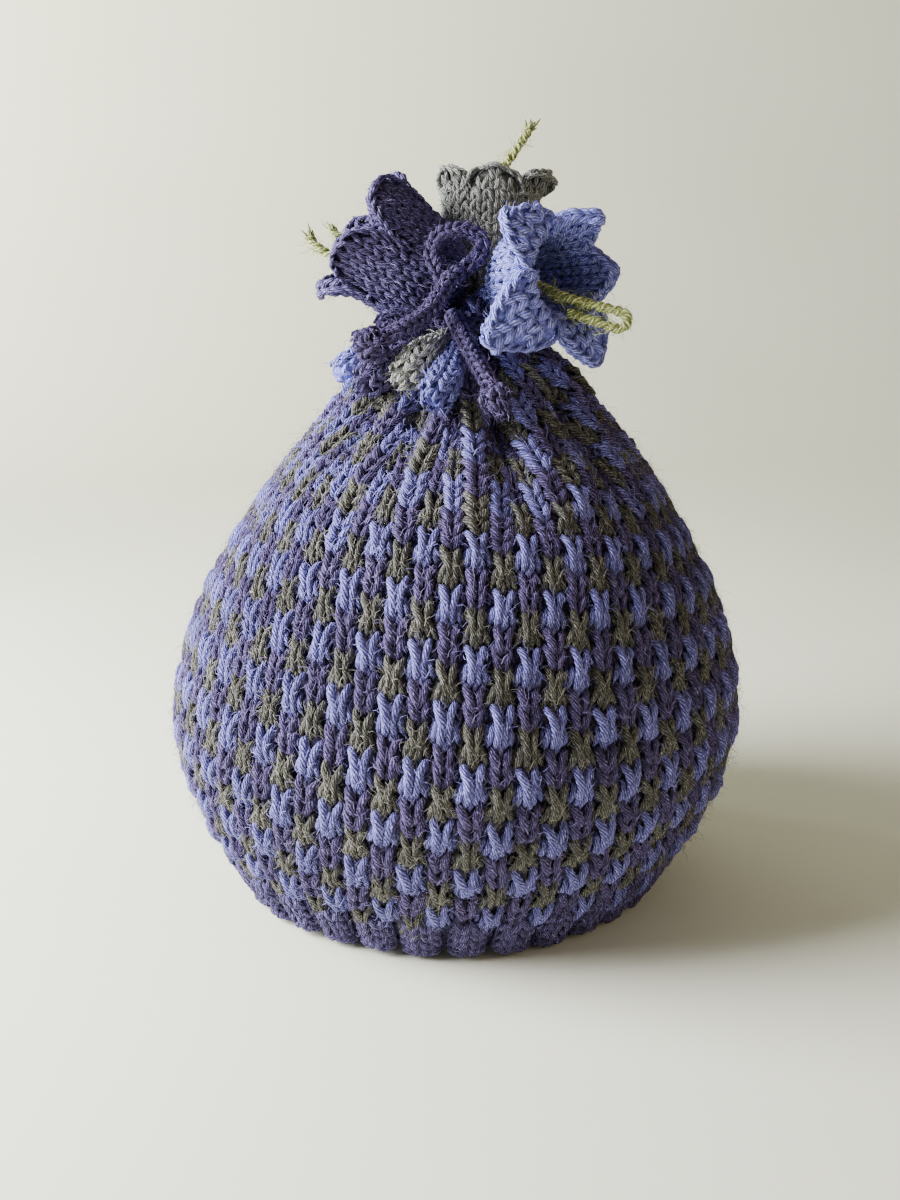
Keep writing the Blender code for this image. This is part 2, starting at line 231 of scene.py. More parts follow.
def join_rings(bm, rings):
    """The faces between each ring and the next: (face, number of the ring, place round it)."""
    faces = []
    for i, (ring, following) in enumerate(zip(rings, rings[1:])):
        for k in range(len(ring)):
            after = (k + 1) % len(ring)
            face = bm.faces.new((ring[k], ring[after], following[after], following[k]))
            face.smooth = True
            faces.append((face, i, k))
    return faces


def lay_strand(bm, route, thickness, sides, flat=0.85, taper=0.5, unit=1.0):
    """One strand of yarn through the rows of a route, thinner towards its ends.

    Its UV map holds the length in mm and the place round the strand. A 1 in the route is unit mm.
    """
    steps = len(route) - 1
    fine = smooth_route(route, distances([Vector(row) for row in route])[-1] / 40)
    travelled, points = distances(fine), []
    for i in range(steps + 1):
        want = travelled[-1] * i / steps
        place = min(bisect_left(travelled, want, 1), len(travelled) - 1) - 1
        share = (want - travelled[place]) / max(travelled[place + 1] - travelled[place], 1e-9)
        points.append(fine[place].lerp(fine[place + 1], clamp(share)))
    uv = bm.loops.layers.uv.get("strand") or bm.loops.layers.uv.new("strand")
    first = (points[-1] - points[0]).normalized().cross(Vector((0, 0, 1)))
    if first.length < 0.1:
        first = Vector((1, 0, 0))
    rings = []
    for i, (point, _, side, out) in enumerate(frames_along(points, first)):
        swell = math.sin(math.pi * (i / steps)) ** 0.55
        radius = thickness * (taper + (1 - taper) * swell if 0 < i < steps else taper * 0.7)
        rings.append(ring_round(bm, point, side, out, radius, radius * flat, sides))
    whole = travelled[-1] * unit
    for face, i, k in join_rings(bm, rings):
        for loop, (u, v) in zip(face.loops, ((i, k), (i, k + 1), (i + 1, k + 1), (i + 1, k))):
            loop[uv].uv = (whole * u / steps, v / sides)
    for ring, end in ((reversed(rings[0]), 0), (rings[-1], whole)):
        for loop in bm.faces.new(ring).loops:
            loop[uv].uv = (end, 0.5)


def mesh_from(name, bm):
    mesh = bpy.data.meshes.new(name)
    bm.to_mesh(mesh)
    bm.free()
    return mesh


def new_piece(name, bm, material):
    """A finished mesh object from worked-up points and faces."""
    piece = bpy.data.objects.new(name, mesh_from(name, bm))
    piece.data.materials.append(material)
    bpy.context.scene.collection.objects.link(piece)
    return piece


def stitching_tree():
    """The knitting machine: a stitch from the basket at every marked point, turned to lie on the cloth."""
    tree = bpy.data.node_groups.new("work stitches", "GeometryNodeTree")
    for name, kind in (
        ("Geometry", "Geometry"), ("Stitch basket", "Collection"), ("Yarn", "Material"),
        ("Unevenness", "Float"), ("Lean", "Float"), ("Loft", "Float"), ("Seed", "Int"),
    ):
        tree.interface.new_socket(name, in_out="INPUT", socket_type="NodeSocket" + kind)
    tree.interface.new_socket("Geometry", in_out="OUTPUT", socket_type="NodeSocketGeometry")
    add = Wool(tree).node
    given = {socket.name: Wool(tree, socket) for socket in tree.nodes.new("NodeGroupInput").outputs}
    marks = {
        name: add("GeometryNodeInputNamedAttribute", {"Name": name}, data_type=kind)
        for name, kind in zip(("out", "along", "room", "kind"), ["FLOAT_VECTOR"] * 3 + ["INT"])
    }

    def spread(amount, seed_step, middle=0.0):
        """A random number within amount of middle."""
        ends = {2: middle - given[amount], 3: middle + given[amount], "Seed": given["Seed"] + seed_step}
        return add("FunctionNodeRandomValue", ends, out=1, data_type="FLOAT")

    axes = {"Primary Axis": marks["out"], "Secondary Axis": marks["along"]}
    facing = add("FunctionNodeAxesToRotation", axes, primary_axis="Z", secondary_axis="Y")
    tilt = add("ShaderNodeCombineXYZ", {axis: spread("Lean", axis + 1) for axis in range(3)})
    nudge = add("FunctionNodeEulerToRotation", {0: tilt})
    turned = add("FunctionNodeRotateRotation", {0: facing, 1: nudge}, rotation_space="LOCAL")
    stretch = add("ShaderNodeCombineXYZ", {axis: spread("Unevenness", axis + 5, 1.0) for axis in range(3)})
    size = add("ShaderNodeVectorMath", {0: marks["room"], 1: stretch}, operation="MULTIPLY")
    lift = add("ShaderNodeVectorMath", {0: marks["out"], "Scale": spread("Loft", 9)}, operation="SCALE")
    basket = add("GeometryNodeCollectionInfo", {
        "Collection": given["Stitch basket"], "Separate Children": True, "Reset Children": True,
    }, transform_space="ORIGINAL")
    worked = add("GeometryNodeInstanceOnPoints", {
        "Points": add("GeometryNodeSetPosition", {"Geometry": given["Geometry"], "Offset": lift}),
        "Instance": basket, "Pick Instance": True, "Instance Index": marks["kind"], "Rotation": turned,
        "Scale": size,
    })
    joined = add("GeometryNodeRealizeInstances", {0: worked})
    for name in marks:
        joined = add("GeometryNodeRemoveAttribute", {"Geometry": joined, "Name": name})
    coloured = add("GeometryNodeSetMaterial", {"Geometry": joined, "Material": given["Yarn"]})
    coloured.feed(tree.nodes.new("NodeGroupOutput").inputs[0])
    return tree


work_stitches = stitching_tree()


def knit(name, marks, basket, material, unevenness=0.05, lean=0.05, loft=0.0, seed=1):
    """Works one stitch at each mark: (point, along, out, room, kind, tone). Returns the plain mesh piece.

    basket is a list of meshes, and room is how wide, long and deep each stitch is to be.
    """
    mesh = bpy.data.meshes.new(name)
    mesh.from_pydata([mark[0] for mark in marks], [], [])
    kinds = {"kind": "INT", "tone": "FLOAT"}
    for column, label in enumerate(("along", "out", "room", "kind", "tone"), 1):
        kind = kinds.get(label, "FLOAT_VECTOR")
        held = mesh.attributes.new(label, kind, "POINT")
        for spot, mark in zip(held.data, marks):
            setattr(spot, "vector" if kind == "FLOAT_VECTOR" else "value", mark[column])
    piece = bpy.data.objects.new(name, mesh)
    bpy.context.scene.collection.objects.link(piece)
    held = bpy.data.collections.new("basket")
    for number, stitch in enumerate(basket):
        held.objects.link(bpy.data.objects.new(f"stitch_{number:02d}", stitch))
    worker = piece.modifiers.new("stitches", "NODES")
    worker.node_group = work_stitches
    given = {"Stitch basket": held, "Yarn": material, "Unevenness": unevenness, "Lean": lean, "Loft": loft,
             "Seed": seed}
    for socket in work_stitches.interface.items_tree:
        if socket.in_out == "INPUT" and socket.name in given:
            worker[socket.identifier] = given[socket.name]
    bpy.context.view_layer.update()
    done = bpy.data.meshes.new_from_object(piece.evaluated_get(bpy.context.evaluated_depsgraph_get()))
    done.name = name
    piece.modifiers.remove(worker)
    piece.data = done
    bpy.data.meshes.remove(mesh)
    for stitch in list(held.objects):
        bpy.data.objects.remove(stitch)
    bpy.data.collections.remove(held)
    return piece


def stitch_mesh(strands, wobble, seed, unit=1.0):
    """A small mesh of yarn strands: rows of (route, thickness). The wobble makes one of several alike."""
    chance = random.Random(seed)
    bm = bmesh.new()
    for route, thickness in strands:
        moved = [tuple(x + chance.uniform(-wobble, wobble) for x in row) for row in route]
        lay_strand(bm, moved, thickness * chance.uniform(0.94, 1.06), 5 if len(route) > 5 else 4, unit=unit)
    return mesh_from("stitch", bm)


def both_sides(route):
    return [route, [(-x, y, z) for x, y, z in route]]


# One plain knit stitch, a V of two arms, in shares of its own width, length and depth.
PLAIN_ARM = [
    (-0.44, 0.66, -0.2), (-0.38, 0.38, 0.16), (-0.27, 0.02, 0.34), (-0.14, -0.36, 0.26),
    (-0.05, -0.7, -0.14),
]
plain_stitches = [
    stitch_mesh([(arm, 0.225) for arm in both_sides(PLAIN_ARM)], 0.035, seed, unit=3.2) for seed in range(4)
]
VIOLET_WOOL = plied_wool("violet wool", (0.02, 0.015, 0.046), (0.078, 0.056, 0.162), (0.275, 0.228, 0.5))


def tube_marks(route, row_length, wales, sink=0.0, seed=0):
    """Marks for plain stitches all round a tube: rows of (x, y, z, radius), all in mm."""
    chance = random.Random(seed)
    rows = smooth_route(route, 0.4)
    points = [row.to_3d() for row in rows]
    marks, due = [], row_length * 0.5
    for row, travelled, (point, along, side, out) in zip(rows, distances(points), frames_along(points)):
        if travelled < due:
            continue
        due += row_length
        wide = math.tau * row[3] / wales
        room = Vector((wide * 1.06, max(row_length * 1.05, 2.5), min(wide, 2.6))) * MM
        for wale in range(wales):
            angle = math.tau * wale / wales + 0.06 * chance.uniform(-1, 1)
            facing = side * math.cos(angle) + out * math.sin(angle)
            place = (point + facing * (row[3] - sink)) * MM
            marks.append((place, along, facing, room, chance.randrange(4), chance.random()))
    return marks


def tube_core(name, route, share, material, sides=10, step=1.0):
    """The closed tube under the stitches, a share of the full thickness, and the path of its middle."""
    bm = bmesh.new()
    rows = smooth_route(route, step)
    path = [row.to_3d() * MM for row in rows]
    rings = [
        ring_round(bm, point, side, out, row[3] * share * MM, row[3] * share * MM, sides)
        for row, (point, _, side, out) in zip(rows, frames_along(path))
    ]
    join_rings(bm, rings)
    bm.faces.new(reversed(rings[0]))
    bm.faces.new(rings[-1])
    return new_piece(name, bm, material), path


def shade_painted_core(name, deep):
    """The inside of knitting, seen only between its stitches, coloured dark as painted shade."""
    material, shader, start = new_material(name, 0.95, 0.1)
    specks = start.node("ShaderNodeTexCoord", {}, out=3).noise(900, 3, 0.7)
    dark, pale = ((*(x * share for x in deep), 1) for share in (0.45, 1.5))
    specks.ramp(0.35, 0.75).between(dark, pale).feed(shader["Base Color"])
    specks.bumps(0.8, 0.0006, shader["Normal"])
    return material


# The cord's inside, coloured dark as painted shade between its stitches.
VIOLET_CORE = shade_painted_core("inside of violet knitting", (0.03, 0.02, 0.06))


def stray_tuft(seed, count, reach, crown, long, upright=0.22, fine=1.0):
    """A few loose curling fibres on the yarn, in mm: each a narrow ribbon of two lengths.

    reach is the half width and half length of the patch, crown how far its middle stands up, and
    upright the share of fibres that stand off the cloth.
    """
    chance = random.Random(seed)
    bm = bmesh.new()
    uv = bm.loops.layers.uv.new("strand")
    for _ in range(count):
        standing = chance.random() < upright
        heading = math.pi / 2 * chance.choice((-1, 1)) + chance.gauss(0, 0.75)
        lift = chance.uniform(0.5, 1.3) if standing else chance.uniform(-0.1, 0.35)
        x, y = chance.uniform(-reach[0], reach[0]), chance.uniform(-reach[1], reach[1])
        root = Vector((x, y, crown * (1 - abs(x / reach[0]) ** 2.2) + chance.uniform(-0.5, 0.35)))
        wide = Vector((-math.sin(heading), math.cos(heading), chance.uniform(-0.6, 0.6))).normalized()
        wide *= fine * chance.uniform(0.05, 0.095)
        curl, length = chance.uniform(-0.9, 0.9), chance.uniform(0.55, 1.0) * long
        spine, place = [root], root
        for share in (1.0, 0.8):
            way = Vector((math.cos(heading), math.sin(heading), lift)).normalized()
            place = place + way * (length * share)
            spine.append(place)
            heading, lift = heading + curl, lift - chance.uniform(0.1, 0.8)
        rows = [[bm.verts.new(point - wide * share), bm.verts.new(point + wide * share)]
                for point, share in zip(spine, (0.8, 1.0, 0.4))]
        bright = chance.random()
        for near, far in zip(rows, rows[1:]):
            face = bm.faces.new((near[0], near[1], far[1], far[0]))
            for loop in face.loops:
                loop[uv].uv = (bright, 0.5)
    return mesh_from("tuft", bm)


def loose_wool(name, deep, bright):
    """Single fibres of wool that catch the light, each its own shade."""
    material, shader, start = new_material(name, 0.8, 0.3)
    own = start.node("ShaderNodeSeparateXYZ", {0: start.node("ShaderNodeUVMap", {}, uv_map="strand")})
    tone = start.node("ShaderNodeAttribute", {}, out=2, attribute_name="tone")
    (own * own * 0.75 + tone * 0.25).between((*deep, 1), (*bright, 1)).feed(shader["Base Color"])
    shader["Sheen Weight"].default_value = 0.4
    shader["Sheen Tint"].default_value = (*bright, 1)
    return material


FLUFF = {
    colour: loose_wool(f"loose {called} wool", deep, bright) for colour, called, deep, bright in (
        ("grey", "grey", (0.03, 0.025, 0.018), (0.34, 0.33, 0.28)),
        ("light", "periwinkle", (0.055, 0.048, 0.17), (0.4, 0.39, 0.9)),
        ("violet", "violet", (0.026, 0.016, 0.05), (0.28, 0.21, 0.48)),
        ("blue violet", "blue violet", (0.034, 0.026, 0.072), (0.34, 0.29, 0.6)),
        ("pale", "pale grey", (0.1, 0.1, 0.1), (0.66, 0.67, 0.64)),
        ("blue", "blue", (0.09, 0.09, 0.36), (0.5, 0.53, 1.0)),
        ("green", "green", (0.2, 0.23, 0.07), (0.78, 0.82, 0.42)),
    )
}
small_tufts = [stray_tuft(seed, 4, (1.4, 1.5), 0.3, 2.5, upright=0.35) for seed in range(40, 52)]


def fluff_over(name, marks, colour, seed, lift=0.25):
    """Loose fibres over the stitches that were worked at these marks."""
    chance = random.Random(seed)
    room = Vector((MM, MM, MM))
    spots = [
        (place + out * (lift * MM), along, out, room, chance.randrange(len(small_tufts)), chance.random())
        for place, along, out, *_ in marks
    ]
    return knit(name, spots, small_tufts, FLUFF[colour], unevenness=0.2, lean=0.2, seed=seed)


def knitted_tube(name, route, share, inside, wool, rows, seeds, loose, lift=0.25, sides=10, step=1.0,
                 end="_core", **ways):
    """A tube of knitting: (its core, its stitches, its loose fibres), and the path of its middle.

    share is the core's part of the thickness, rows is (length of a row, stitches round, how far
    they sink in), and the seeds are for the marks, the stitches and the fibres.
    """
    core, path = tube_core(name + end, route, share, inside, sides, step)
    marks = tube_marks(route, *rows, seed=seeds[0])
    knitted = knit(name + "_stitches", marks, plain_stitches, wool, seed=seeds[1], **ways)
    return (core, knitted, fluff_over(name + "_fluff", marks, loose, seeds[2], lift)), path


CORD_RADIUS, CORD_CORE, CORD_ROWS = 2.2, 0.72, (2.2, 4, 1.0)
TAILS = {
    "tail_left": (
        (1.2, -25.15, 193.4), (-1.6, -26.6, 191.2), (-4.0, -27.4, 187.9), (-7.4, -29.6, 183.1),
        (-12.8, -32.4, 179.2), (-17.6, -33.4, 176.8), (-20.8, -33.8, 175.2),
    ),
    "tail_right": (
        (-1.2, -20.8, 181.2), (-0.2, -24.4, 179.2), (2.4, -30.4, 174.6), (5.6, -36.2, 169.0),
        (8.4, -40.6, 164.4), (9.6, -42.6, 162.2),
    ),
}
for number, (name, route) in enumerate(TAILS.items()):
    pieces, path = knitted_tube(
        name, [(*row, CORD_RADIUS) for row in route], CORD_CORE, VIOLET_CORE, VIOLET_WOOL, CORD_ROWS,
        (number, number, 150 + number), "violet", sides=12, end="_cord",
    )
    for piece in pieces:
        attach(piece, "root")
        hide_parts(name)
    tuple(path[0])
    round(distances(path)[-1], 4)
    [tuple(point) for point in path]
    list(pieces[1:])

# ---- The wall of the cosy -----------------------------------------------------------------------
# A gathered cover in double-knitting wool: 72 upright ribs whose grey, light and violet blocks take
# turns, drawn in at the neck. Its thick cloth is one dark sheet that the stitches stand on, its darkness
# painted shade between them.

# A column is one line of points up the wall, on a rib's crown or in a furrow. In mm: the wall's
# radius by height, its gathers as (middle in degrees, depth, reach down the wall), and its slits as
# (column, bottom, top, width).
RIBS, COLUMNS, HALF = 72, 144, 72
WALL = 5.0
RIB_DEPTH, RIB_FULL_RADIUS = 2.2, 60
HEM_HEIGHT, HEM_RIB_DEPTH, BLEND_HEIGHT = 13, 3.0, 10
LEAN, AXIS_HEIGHT = 0.035, 62
PROFILE = (
    (0, 65.5), (13, 73.5), (33, 84), (57, 89.3), (85, 84), (110, 72.5), (135, 55.5),
    (152, 41), (163, 32.5), (170, 22.6), (175.5, 15.2), (182, 14.4),
)
HOLLOWS = (
    (12, 6, 34), (40, 7, 30), (68, 6, 36), (97, 7.5, 32), (127, 6, 28), (156, 7, 36), (190, 6.5, 30),
    (224, 6.5, 34), (247, 6, 28), (264, 4.5, 22), (284, 9, 40), (318, 7, 44), (343, 5.5, 30),
)
HOLLOW_HALF_WIDTH, HOLLOW_TOP = 13, 158
SLITS = ((0, 33, 105, 18), (72, 33, 93, 24))
SLIT_SPREAD, LIP_RISE = 9, 1.5


def through(table, at):
    """The value at one place on a smooth curve through rows of (place, value)."""
    last = len(table) - 2
    row = min(max(sum(1 for place, _ in table if place <= at) - 1, 0), last)

    def slope(i):
        low, high = max(i - 1, 0), min(i + 1, last + 1)
        return (table[high][1] - table[low][1]) / (table[high][0] - table[low][0])

    (begin, first), (end, second) = table[row], table[row + 1]
    span = end - begin
    t = (at - begin) / span
    return (
        first * (1 + 2 * t) * (1 - t) ** 2 + slope(row) * span * t * (1 - t) ** 2
        + second * t * t * (3 - 2 * t) - slope(row + 1) * span * t * t * (1 - t)
    )


def apart(turn, other):
    return abs((turn - other + 180) % 360 - 180)


def hollow_depth(angle, height, radius):
    """How far the gathers pull the wall in."""
    depth = 0.0
    for centre, deepest, reach in HOLLOWS:
        off = apart(math.degrees(angle), centre) / HOLLOW_HALF_WIDTH
        down = max(HOLLOW_TOP - height, 0) / reach
        if off < 1 and down < 1:
            depth += deepest * (1 - off * off) ** 2 * (1 - down) ** 1.3
    return depth * min(1, radius / through(PROFILE, HOLLOW_TOP))


def rib_depth(column, height, radius):
    """How far a column lies under the ribs' crowns."""
    hem = HEM_RIB_DEPTH if column % 4 in (0, 3) else 0
    body = RIB_DEPTH * min(1, radius / RIB_FULL_RADIUS) if column % 2 == 0 else 0
    return hem + (body - hem) * clamp((height - HEM_HEIGHT) / BLEND_HEIGHT)


def slit_push(column, half, height):
    """How far the slits push a column round the wall, and how near it is to one (0 to 1)."""
    for slit, bottom, top, width in SLITS:
        steps = (column - slit + HALF) % COLUMNS - HALF
        up = (height - bottom) / (top - bottom)
        if abs(steps) < SLIT_SPREAD and 0 < up < 1:
            side = math.copysign(1, steps) if steps else (1 if half == slit // HALF else -1)
            nearness = math.sin(math.pi * up) ** 0.6 * (1 - abs(steps) / SLIT_SPREAD) ** 2
            return side * nearness * width / 2, nearness
    return 0.0, 0.0


# How much wider than evenly spread the ribs lie over the front and back, by height, and how much
# wider again on the crest of each fold: the rest of the cloth is tucked into the folds and sides.
FRONT_SPREAD = (
    (0, 0.13), (22, 0.12), (40, 0.05), (60, 0.0), (80, 0.0), (95, 0.05), (108, 0.13), (120, 0.22),
    (132, 0.24), (142, 0.17), (152, 0.04), (162, -0.1), (172, -0.2), (185, -0.2),
)
CREST_SPREAD = ((122, 0.0), (134, 0.18), (144, 0.42), (154, 0.64), (164, 0.8), (185, 0.85))
FOLDS_BEGIN, FOLDS_RISE, DEEP_FOLD = 134, 16, 9


def gathered_angle(turn, height):
    """Where a rib at turn (degrees) on the evenly spread hem lies at this height."""
    middle = 90 if turn % 360 < 180 else 270
    off = (turn % 360) - middle
    turn += through(FRONT_SPREAD, height) * off * (1 - (off / 90) ** 2)
    folds = [centre for centre, _, _ in HOLLOWS]
    folds = [folds[-1] - 360, *folds, folds[0] + 360]
    left = max(centre for centre in folds if centre <= turn)
    right = min(centre for centre in folds if centre > turn)
    share = (turn - left) / (right - left)
    crest = through(CREST_SPREAD, height) if height > CREST_SPREAD[0][0] else 0
    return left + (right - left) * (share - crest * math.sin(math.tau * share) / math.tau)


def wall_place(column, half, height, below):
    """One point of the wall in mm, this far below the crowns of its ribs."""
    push, nearness = slit_push(column, half, height)
    plain = through(PROFILE, height)
    radius = plain + LIP_RISE * nearness
    angle = math.radians(gathered_angle(360 * column / COLUMNS, height)) + push / radius
    radius -= hollow_depth(angle, height, plain) + below
    middle = LEAN * (height - AXIS_HEIGHT)
    return Vector((middle + radius * math.cos(angle), radius * math.sin(angle), height))


def up_the_wall(column, half, height, below):
    """A point of the wall and the way up the wall there."""
    place, above, beneath = (wall_place(column, half, height + up, below) for up in (0, 2, -2))
    return place, above - beneath


def fold_nearness(place, height):
    """How deep in one of the gathers' folds under the neck a point lies, from 0 to 1."""
    turn = math.degrees(math.atan2(place.y, place.x - LEAN * (height - AXIS_HEIGHT)))
    return clamp((height - FOLDS_BEGIN) / FOLDS_RISE) * max(
        max(1 - apart(turn, centre) / deepest, 0) * (deepest / DEEP_FOLD) ** 1.3
        for centre, deepest, _ in HOLLOWS
    )


def in_slit(column, height):
    return any(column % COLUMNS == slit and bottom < height < top for slit, bottom, top, _ in SLITS)


CLOTH_DEPTH, CLOTH_FOLD = 1.7, 4.5
NECK_BEGIN, NECK_BLEND, NECK_SWELL = 130, 16, 1.4


def make_cloth():
    """The closed sheet under the stitches: ribbed outside, smooth inside, open at both slits."""
    slit_ends = [end for _, bottom, top, _ in SLITS for end in (bottom, top)]
    heights = sorted({1.2, 6, 10, 13, 18, 23, *slit_ends, *range(39, 165, 6), 168, 173, 177.5, 181})
    bm = bmesh.new()

    def outside(column, half, height, plain):
        """How far below the crowns of its ribs the outside lies, deeper in the gathers' folds."""
        below = rib_depth(column, height, plain) + CLOTH_DEPTH
        fold = fold_nearness(wall_place(column, half, height, below), height)
        return below + (CLOTH_FOLD * fold - NECK_SWELL * clamp((height - NECK_BEGIN) / NECK_BLEND))

    def grid(inside):
        shared, points = {}, {}
        for height in heights:
            plain = through(PROFILE, height)
            for half in (0, 1):
                for column in range(half * HALF, (half + 1) * HALF + 1):
                    own = half if in_slit(column, height) else None
                    key = (own, column % COLUMNS, height)
                    if key not in shared:
                        below = min(WALL, plain * 0.34) if inside else outside(column, half, height, plain)
                        shared[key] = bm.verts.new(wall_place(column, half, height, below) * MM)
                    points[half, column, height] = shared[key]
        return points

    def patch(*corners):
        bm.faces.new([skin[half, column, height] for skin, column, height in corners])

    outer, inner = grid(False), grid(True)
    for half in (0, 1):
        for column in range(half * HALF, (half + 1) * HALF):
            after = column + 1
            for skin in (outer, inner):
                for low, high in zip(heights, heights[1:]):
                    patch((skin, column, low), (skin, after, low), (skin, after, high), (skin, column, high))
            for end in (heights[0], heights[-1]):
                patch((inner, column, end), (inner, after, end), (outer, after, end), (outer, column, end))
    for slit, bottom, top, _ in SLITS:
        edge = [height for height in heights if bottom <= height <= top]
        for half in (0, 1):
            column = slit if half == 0 or slit else COLUMNS
            for low, high in zip(edge, edge[1:]):
                patch((outer, column, low), (outer, column, high),
                      (inner, column, high), (inner, column, low))
    bmesh.ops.recalc_face_normals(bm, faces=bm.faces)
    # The cloth is coloured dark: painted shade in the furrows between the blocks.
    return new_piece("cosy_cloth", bm, shade_painted_core("inside of the wall's knitting", (0.08, 0.066, 0.13)))


cloth = make_cloth()

# Each block is two rows of one colour on one rib. Its strands are given for one side in mm, with
# how thick they are, from the upper tip down to the waist and the flared foot.
BLOCK_LENGTH, PITCH = 10.5, 7.77
FOOT = [((0.15, -3.4, 0.2), (0.0, -4.8, 0.6), (-0.1, -6.1, 0.3), (0.0, -7.1, -0.6)), 1.05]
BLOCKS = {
    "grey": (
        (((-2.5, 6.4, -0.9), (-2.2, 4.9, 0.8), (-1.7, 3.2, 1.6), (-1.1, 1.4, 1.8), (-0.8, -0.4, 1.7),
          (-0.9, -2.3, 1.3), (-1.2, -4.2, 0.8), (-1.5, -5.8, -0.3)), 1.2),
        (((-3.5, 4.6, -1.0), (-2.6, 3.1, 0.3), (-1.7, 1.3, 1.0), (-1.4, 0.0, 0.9)), 0.92),
        (((-1.2, 0.8, 0.6), (-2.0, -1.0, 1.1), (-2.9, -2.8, 1.0), (-3.8, -4.6, 0.4),
          (-4.4, -5.6, -0.5)), 1.1),
        (((-2.6, 0.0, -1.0), (-3.5, -1.6, -0.4), (-4.2, -3.0, -0.6), (-4.6, -4.4, -1.2)), 0.85),
    ),
    "light": (
        (((-2.85, 6.1, -0.7), (-2.6, 4.8, 1.1), (-2.05, 3.2, 2.0), (-1.25, 1.4, 2.3), (-0.85, -0.8, 2.1),
          (-0.95, -2.8, 1.6), (-1.2, -4.6, 1.0), (-1.35, -6.0, -0.1)), 1.46),
        (((-2.2, 1.3, -0.4), (-2.4, 0.0, 0.6), (-2.7, -1.7, 1.2), (-3.2, -3.4, 1.0),
          (-3.7, -5.2, -0.2)), 1.18),
        (((-3.3, 0.9, -1.2), (-3.6, -0.9, -0.6), (-4.0, -2.9, -0.5), (-4.3, -4.9, -1.1)), 0.9),
    ),
    "violet": (
        (((-2.6, 6.0, -0.9), (-2.5, 4.6, 0.6), (-2.0, 2.9, 1.4), (-1.3, 1.0, 1.7), (-0.8, -0.8, 1.4),
          (-0.5, -2.4, 0.5)), 1.34),
        (((-2.5, 1.5, -0.8), (-2.4, -0.2, 0.6), (-2.1, -2.0, 1.4), (-1.6, -3.9, 1.5), (-1.2, -5.5, 0.9),
          (-0.8, -6.7, -0.2)), 1.32),
        (((-3.3, 0.6, -1.1), (-3.7, -1.2, -0.5), (-4.0, -3.2, -0.6), (-4.0, -5.2, -1.2)), 0.95),
    ),
}
WOOLS = {
    "grey": plied_wool("grey wool", (0.024, 0.022, 0.018), (0.092, 0.089, 0.08), (0.4, 0.39, 0.36)),
    "light": plied_wool(
        "light periwinkle wool", (0.052, 0.046, 0.18), (0.2, 0.187, 0.56), (0.48, 0.47, 1.0),
    ),
    "violet": VIOLET_WOOL,
}
# The rows of blocks: a grey one's length up the front rib that is GREY_SIDE mm to the right, how
# much lower each row lies for every mm further right, and the reach of the cosy at its widest.
GREY_PLACE, GREY_SIDE, ROW_FALL, WIDEST = 110.8, 3.6, 0.085, 85
LOWEST_BLOCK, BLOCK_DEPTH, BLOCK_FOLD = 16.5, 2.0, 5.5
GATHERED, PLAIN_ABOVE, NECK_TOP = 122, 128, 179
# Near the neck a block is three plain stitches, one above another, on a narrower rib.
NECK_ARM = [(-2.9, 3.6, -0.8), (-2.6, 2.2, 0.9), (-1.7, 0.3, 1.8), (-0.8, -1.6, 1.5), (-0.3, -2.9, 0.1)]
NARROW = 0.85


def block_marks():
    """Every block's mark, by colour."""
    chance = random.Random(12)
    marks = {colour: [] for colour in BLOCKS}
    order = ("grey", "violet", "light")
    for rib in range(RIBS):
        column = 2 * rib + 1
        half = column // HALF
        line = distances([wall_place(column, half, height, 0) for height in range(NECK_TOP)])
        right_by = WIDEST * math.cos(math.tau * column / COLUMNS) - GREY_SIDE
        grey = GREY_PLACE - (1.5 * BLOCK_LENGTH if rib % 2 else 0) - ROW_FALL * right_by
        for number in range(-14, 14):
            length = grey + number * BLOCK_LENGTH + chance.uniform(-0.3, 0.3)
            if not LOWEST_BLOCK < length < line[-1] + 1:
                continue
            spot = min(bisect_left(line, length, 1), len(line) - 1) - 1
            height = spot + (length - line[spot]) / (line[spot + 1] - line[spot])
            place, along = up_the_wall(column, half, height, BLOCK_DEPTH)
            left, right = (wall_place(column + way, half, height, BLOCK_DEPTH) for way in (-1, 1))
            across = right - left
            out = across.cross(along).normalized()
            wide = across.length / PITCH
            fold = fold_nearness(place, height)
            if wide < 0.3 and fold > 0.2 or fold > 0.6:
                continue  # deep in a fold there is no room for a block
            if height > GATHERED:
                wide = max(wide * 1.15, 0.66)
            place = place - out * (BLOCK_FOLD * fold)
            deep = min(1.0, 0.45 + 0.55 * wide) * (1 + 0.2 * clamp((height - NECK_BEGIN) / 20))
            narrow = height > PLAIN_ABOVE + chance.uniform(-6, 6)
            room = Vector((wide * 0.97 / (NARROW if narrow else 1), 1.0, deep)) * MM
            marks[order[number % 3]].append((
                place * MM, along.normalized(), out, room, chance.randrange(4) + 4 * narrow, chance.random(),
            ))
    return marks


def left_over_right(route, thickness):
    """Both arms of a stitch: the left one lies over the right, which is a little thinner."""
    over = [(x, y, z + 0.12) for x, y, z in route]
    under = [(-x * 0.96 + 0.12, y, z - 0.3) for x, y, z in route]
    return [(over, thickness * 1.04), (under, thickness * 0.9)]


placed = block_marks()
blocks = []
for number, (colour, strands) in enumerate(BLOCKS.items()):
    basket = []
    for kind in range(8):
        arms = strands
        if kind >= 4:
            arms = [([(x, y + up, z) for x, y, z in NECK_ARM], 1.28) for up in (-3.5, 0, 3.5)]
        worked = [FOOT] + [pair for route, thick in arms for pair in left_over_right(route, thick)]
        basket.append(stitch_mesh(worked, 0.28, number * 7 + kind))
    blocks.append(knit(
        f"{colour}_blocks", placed[colour], basket, WOOLS[colour], unevenness=0.07, lean=0.09, loft=0.0003,
        seed=20 + number,
    ))

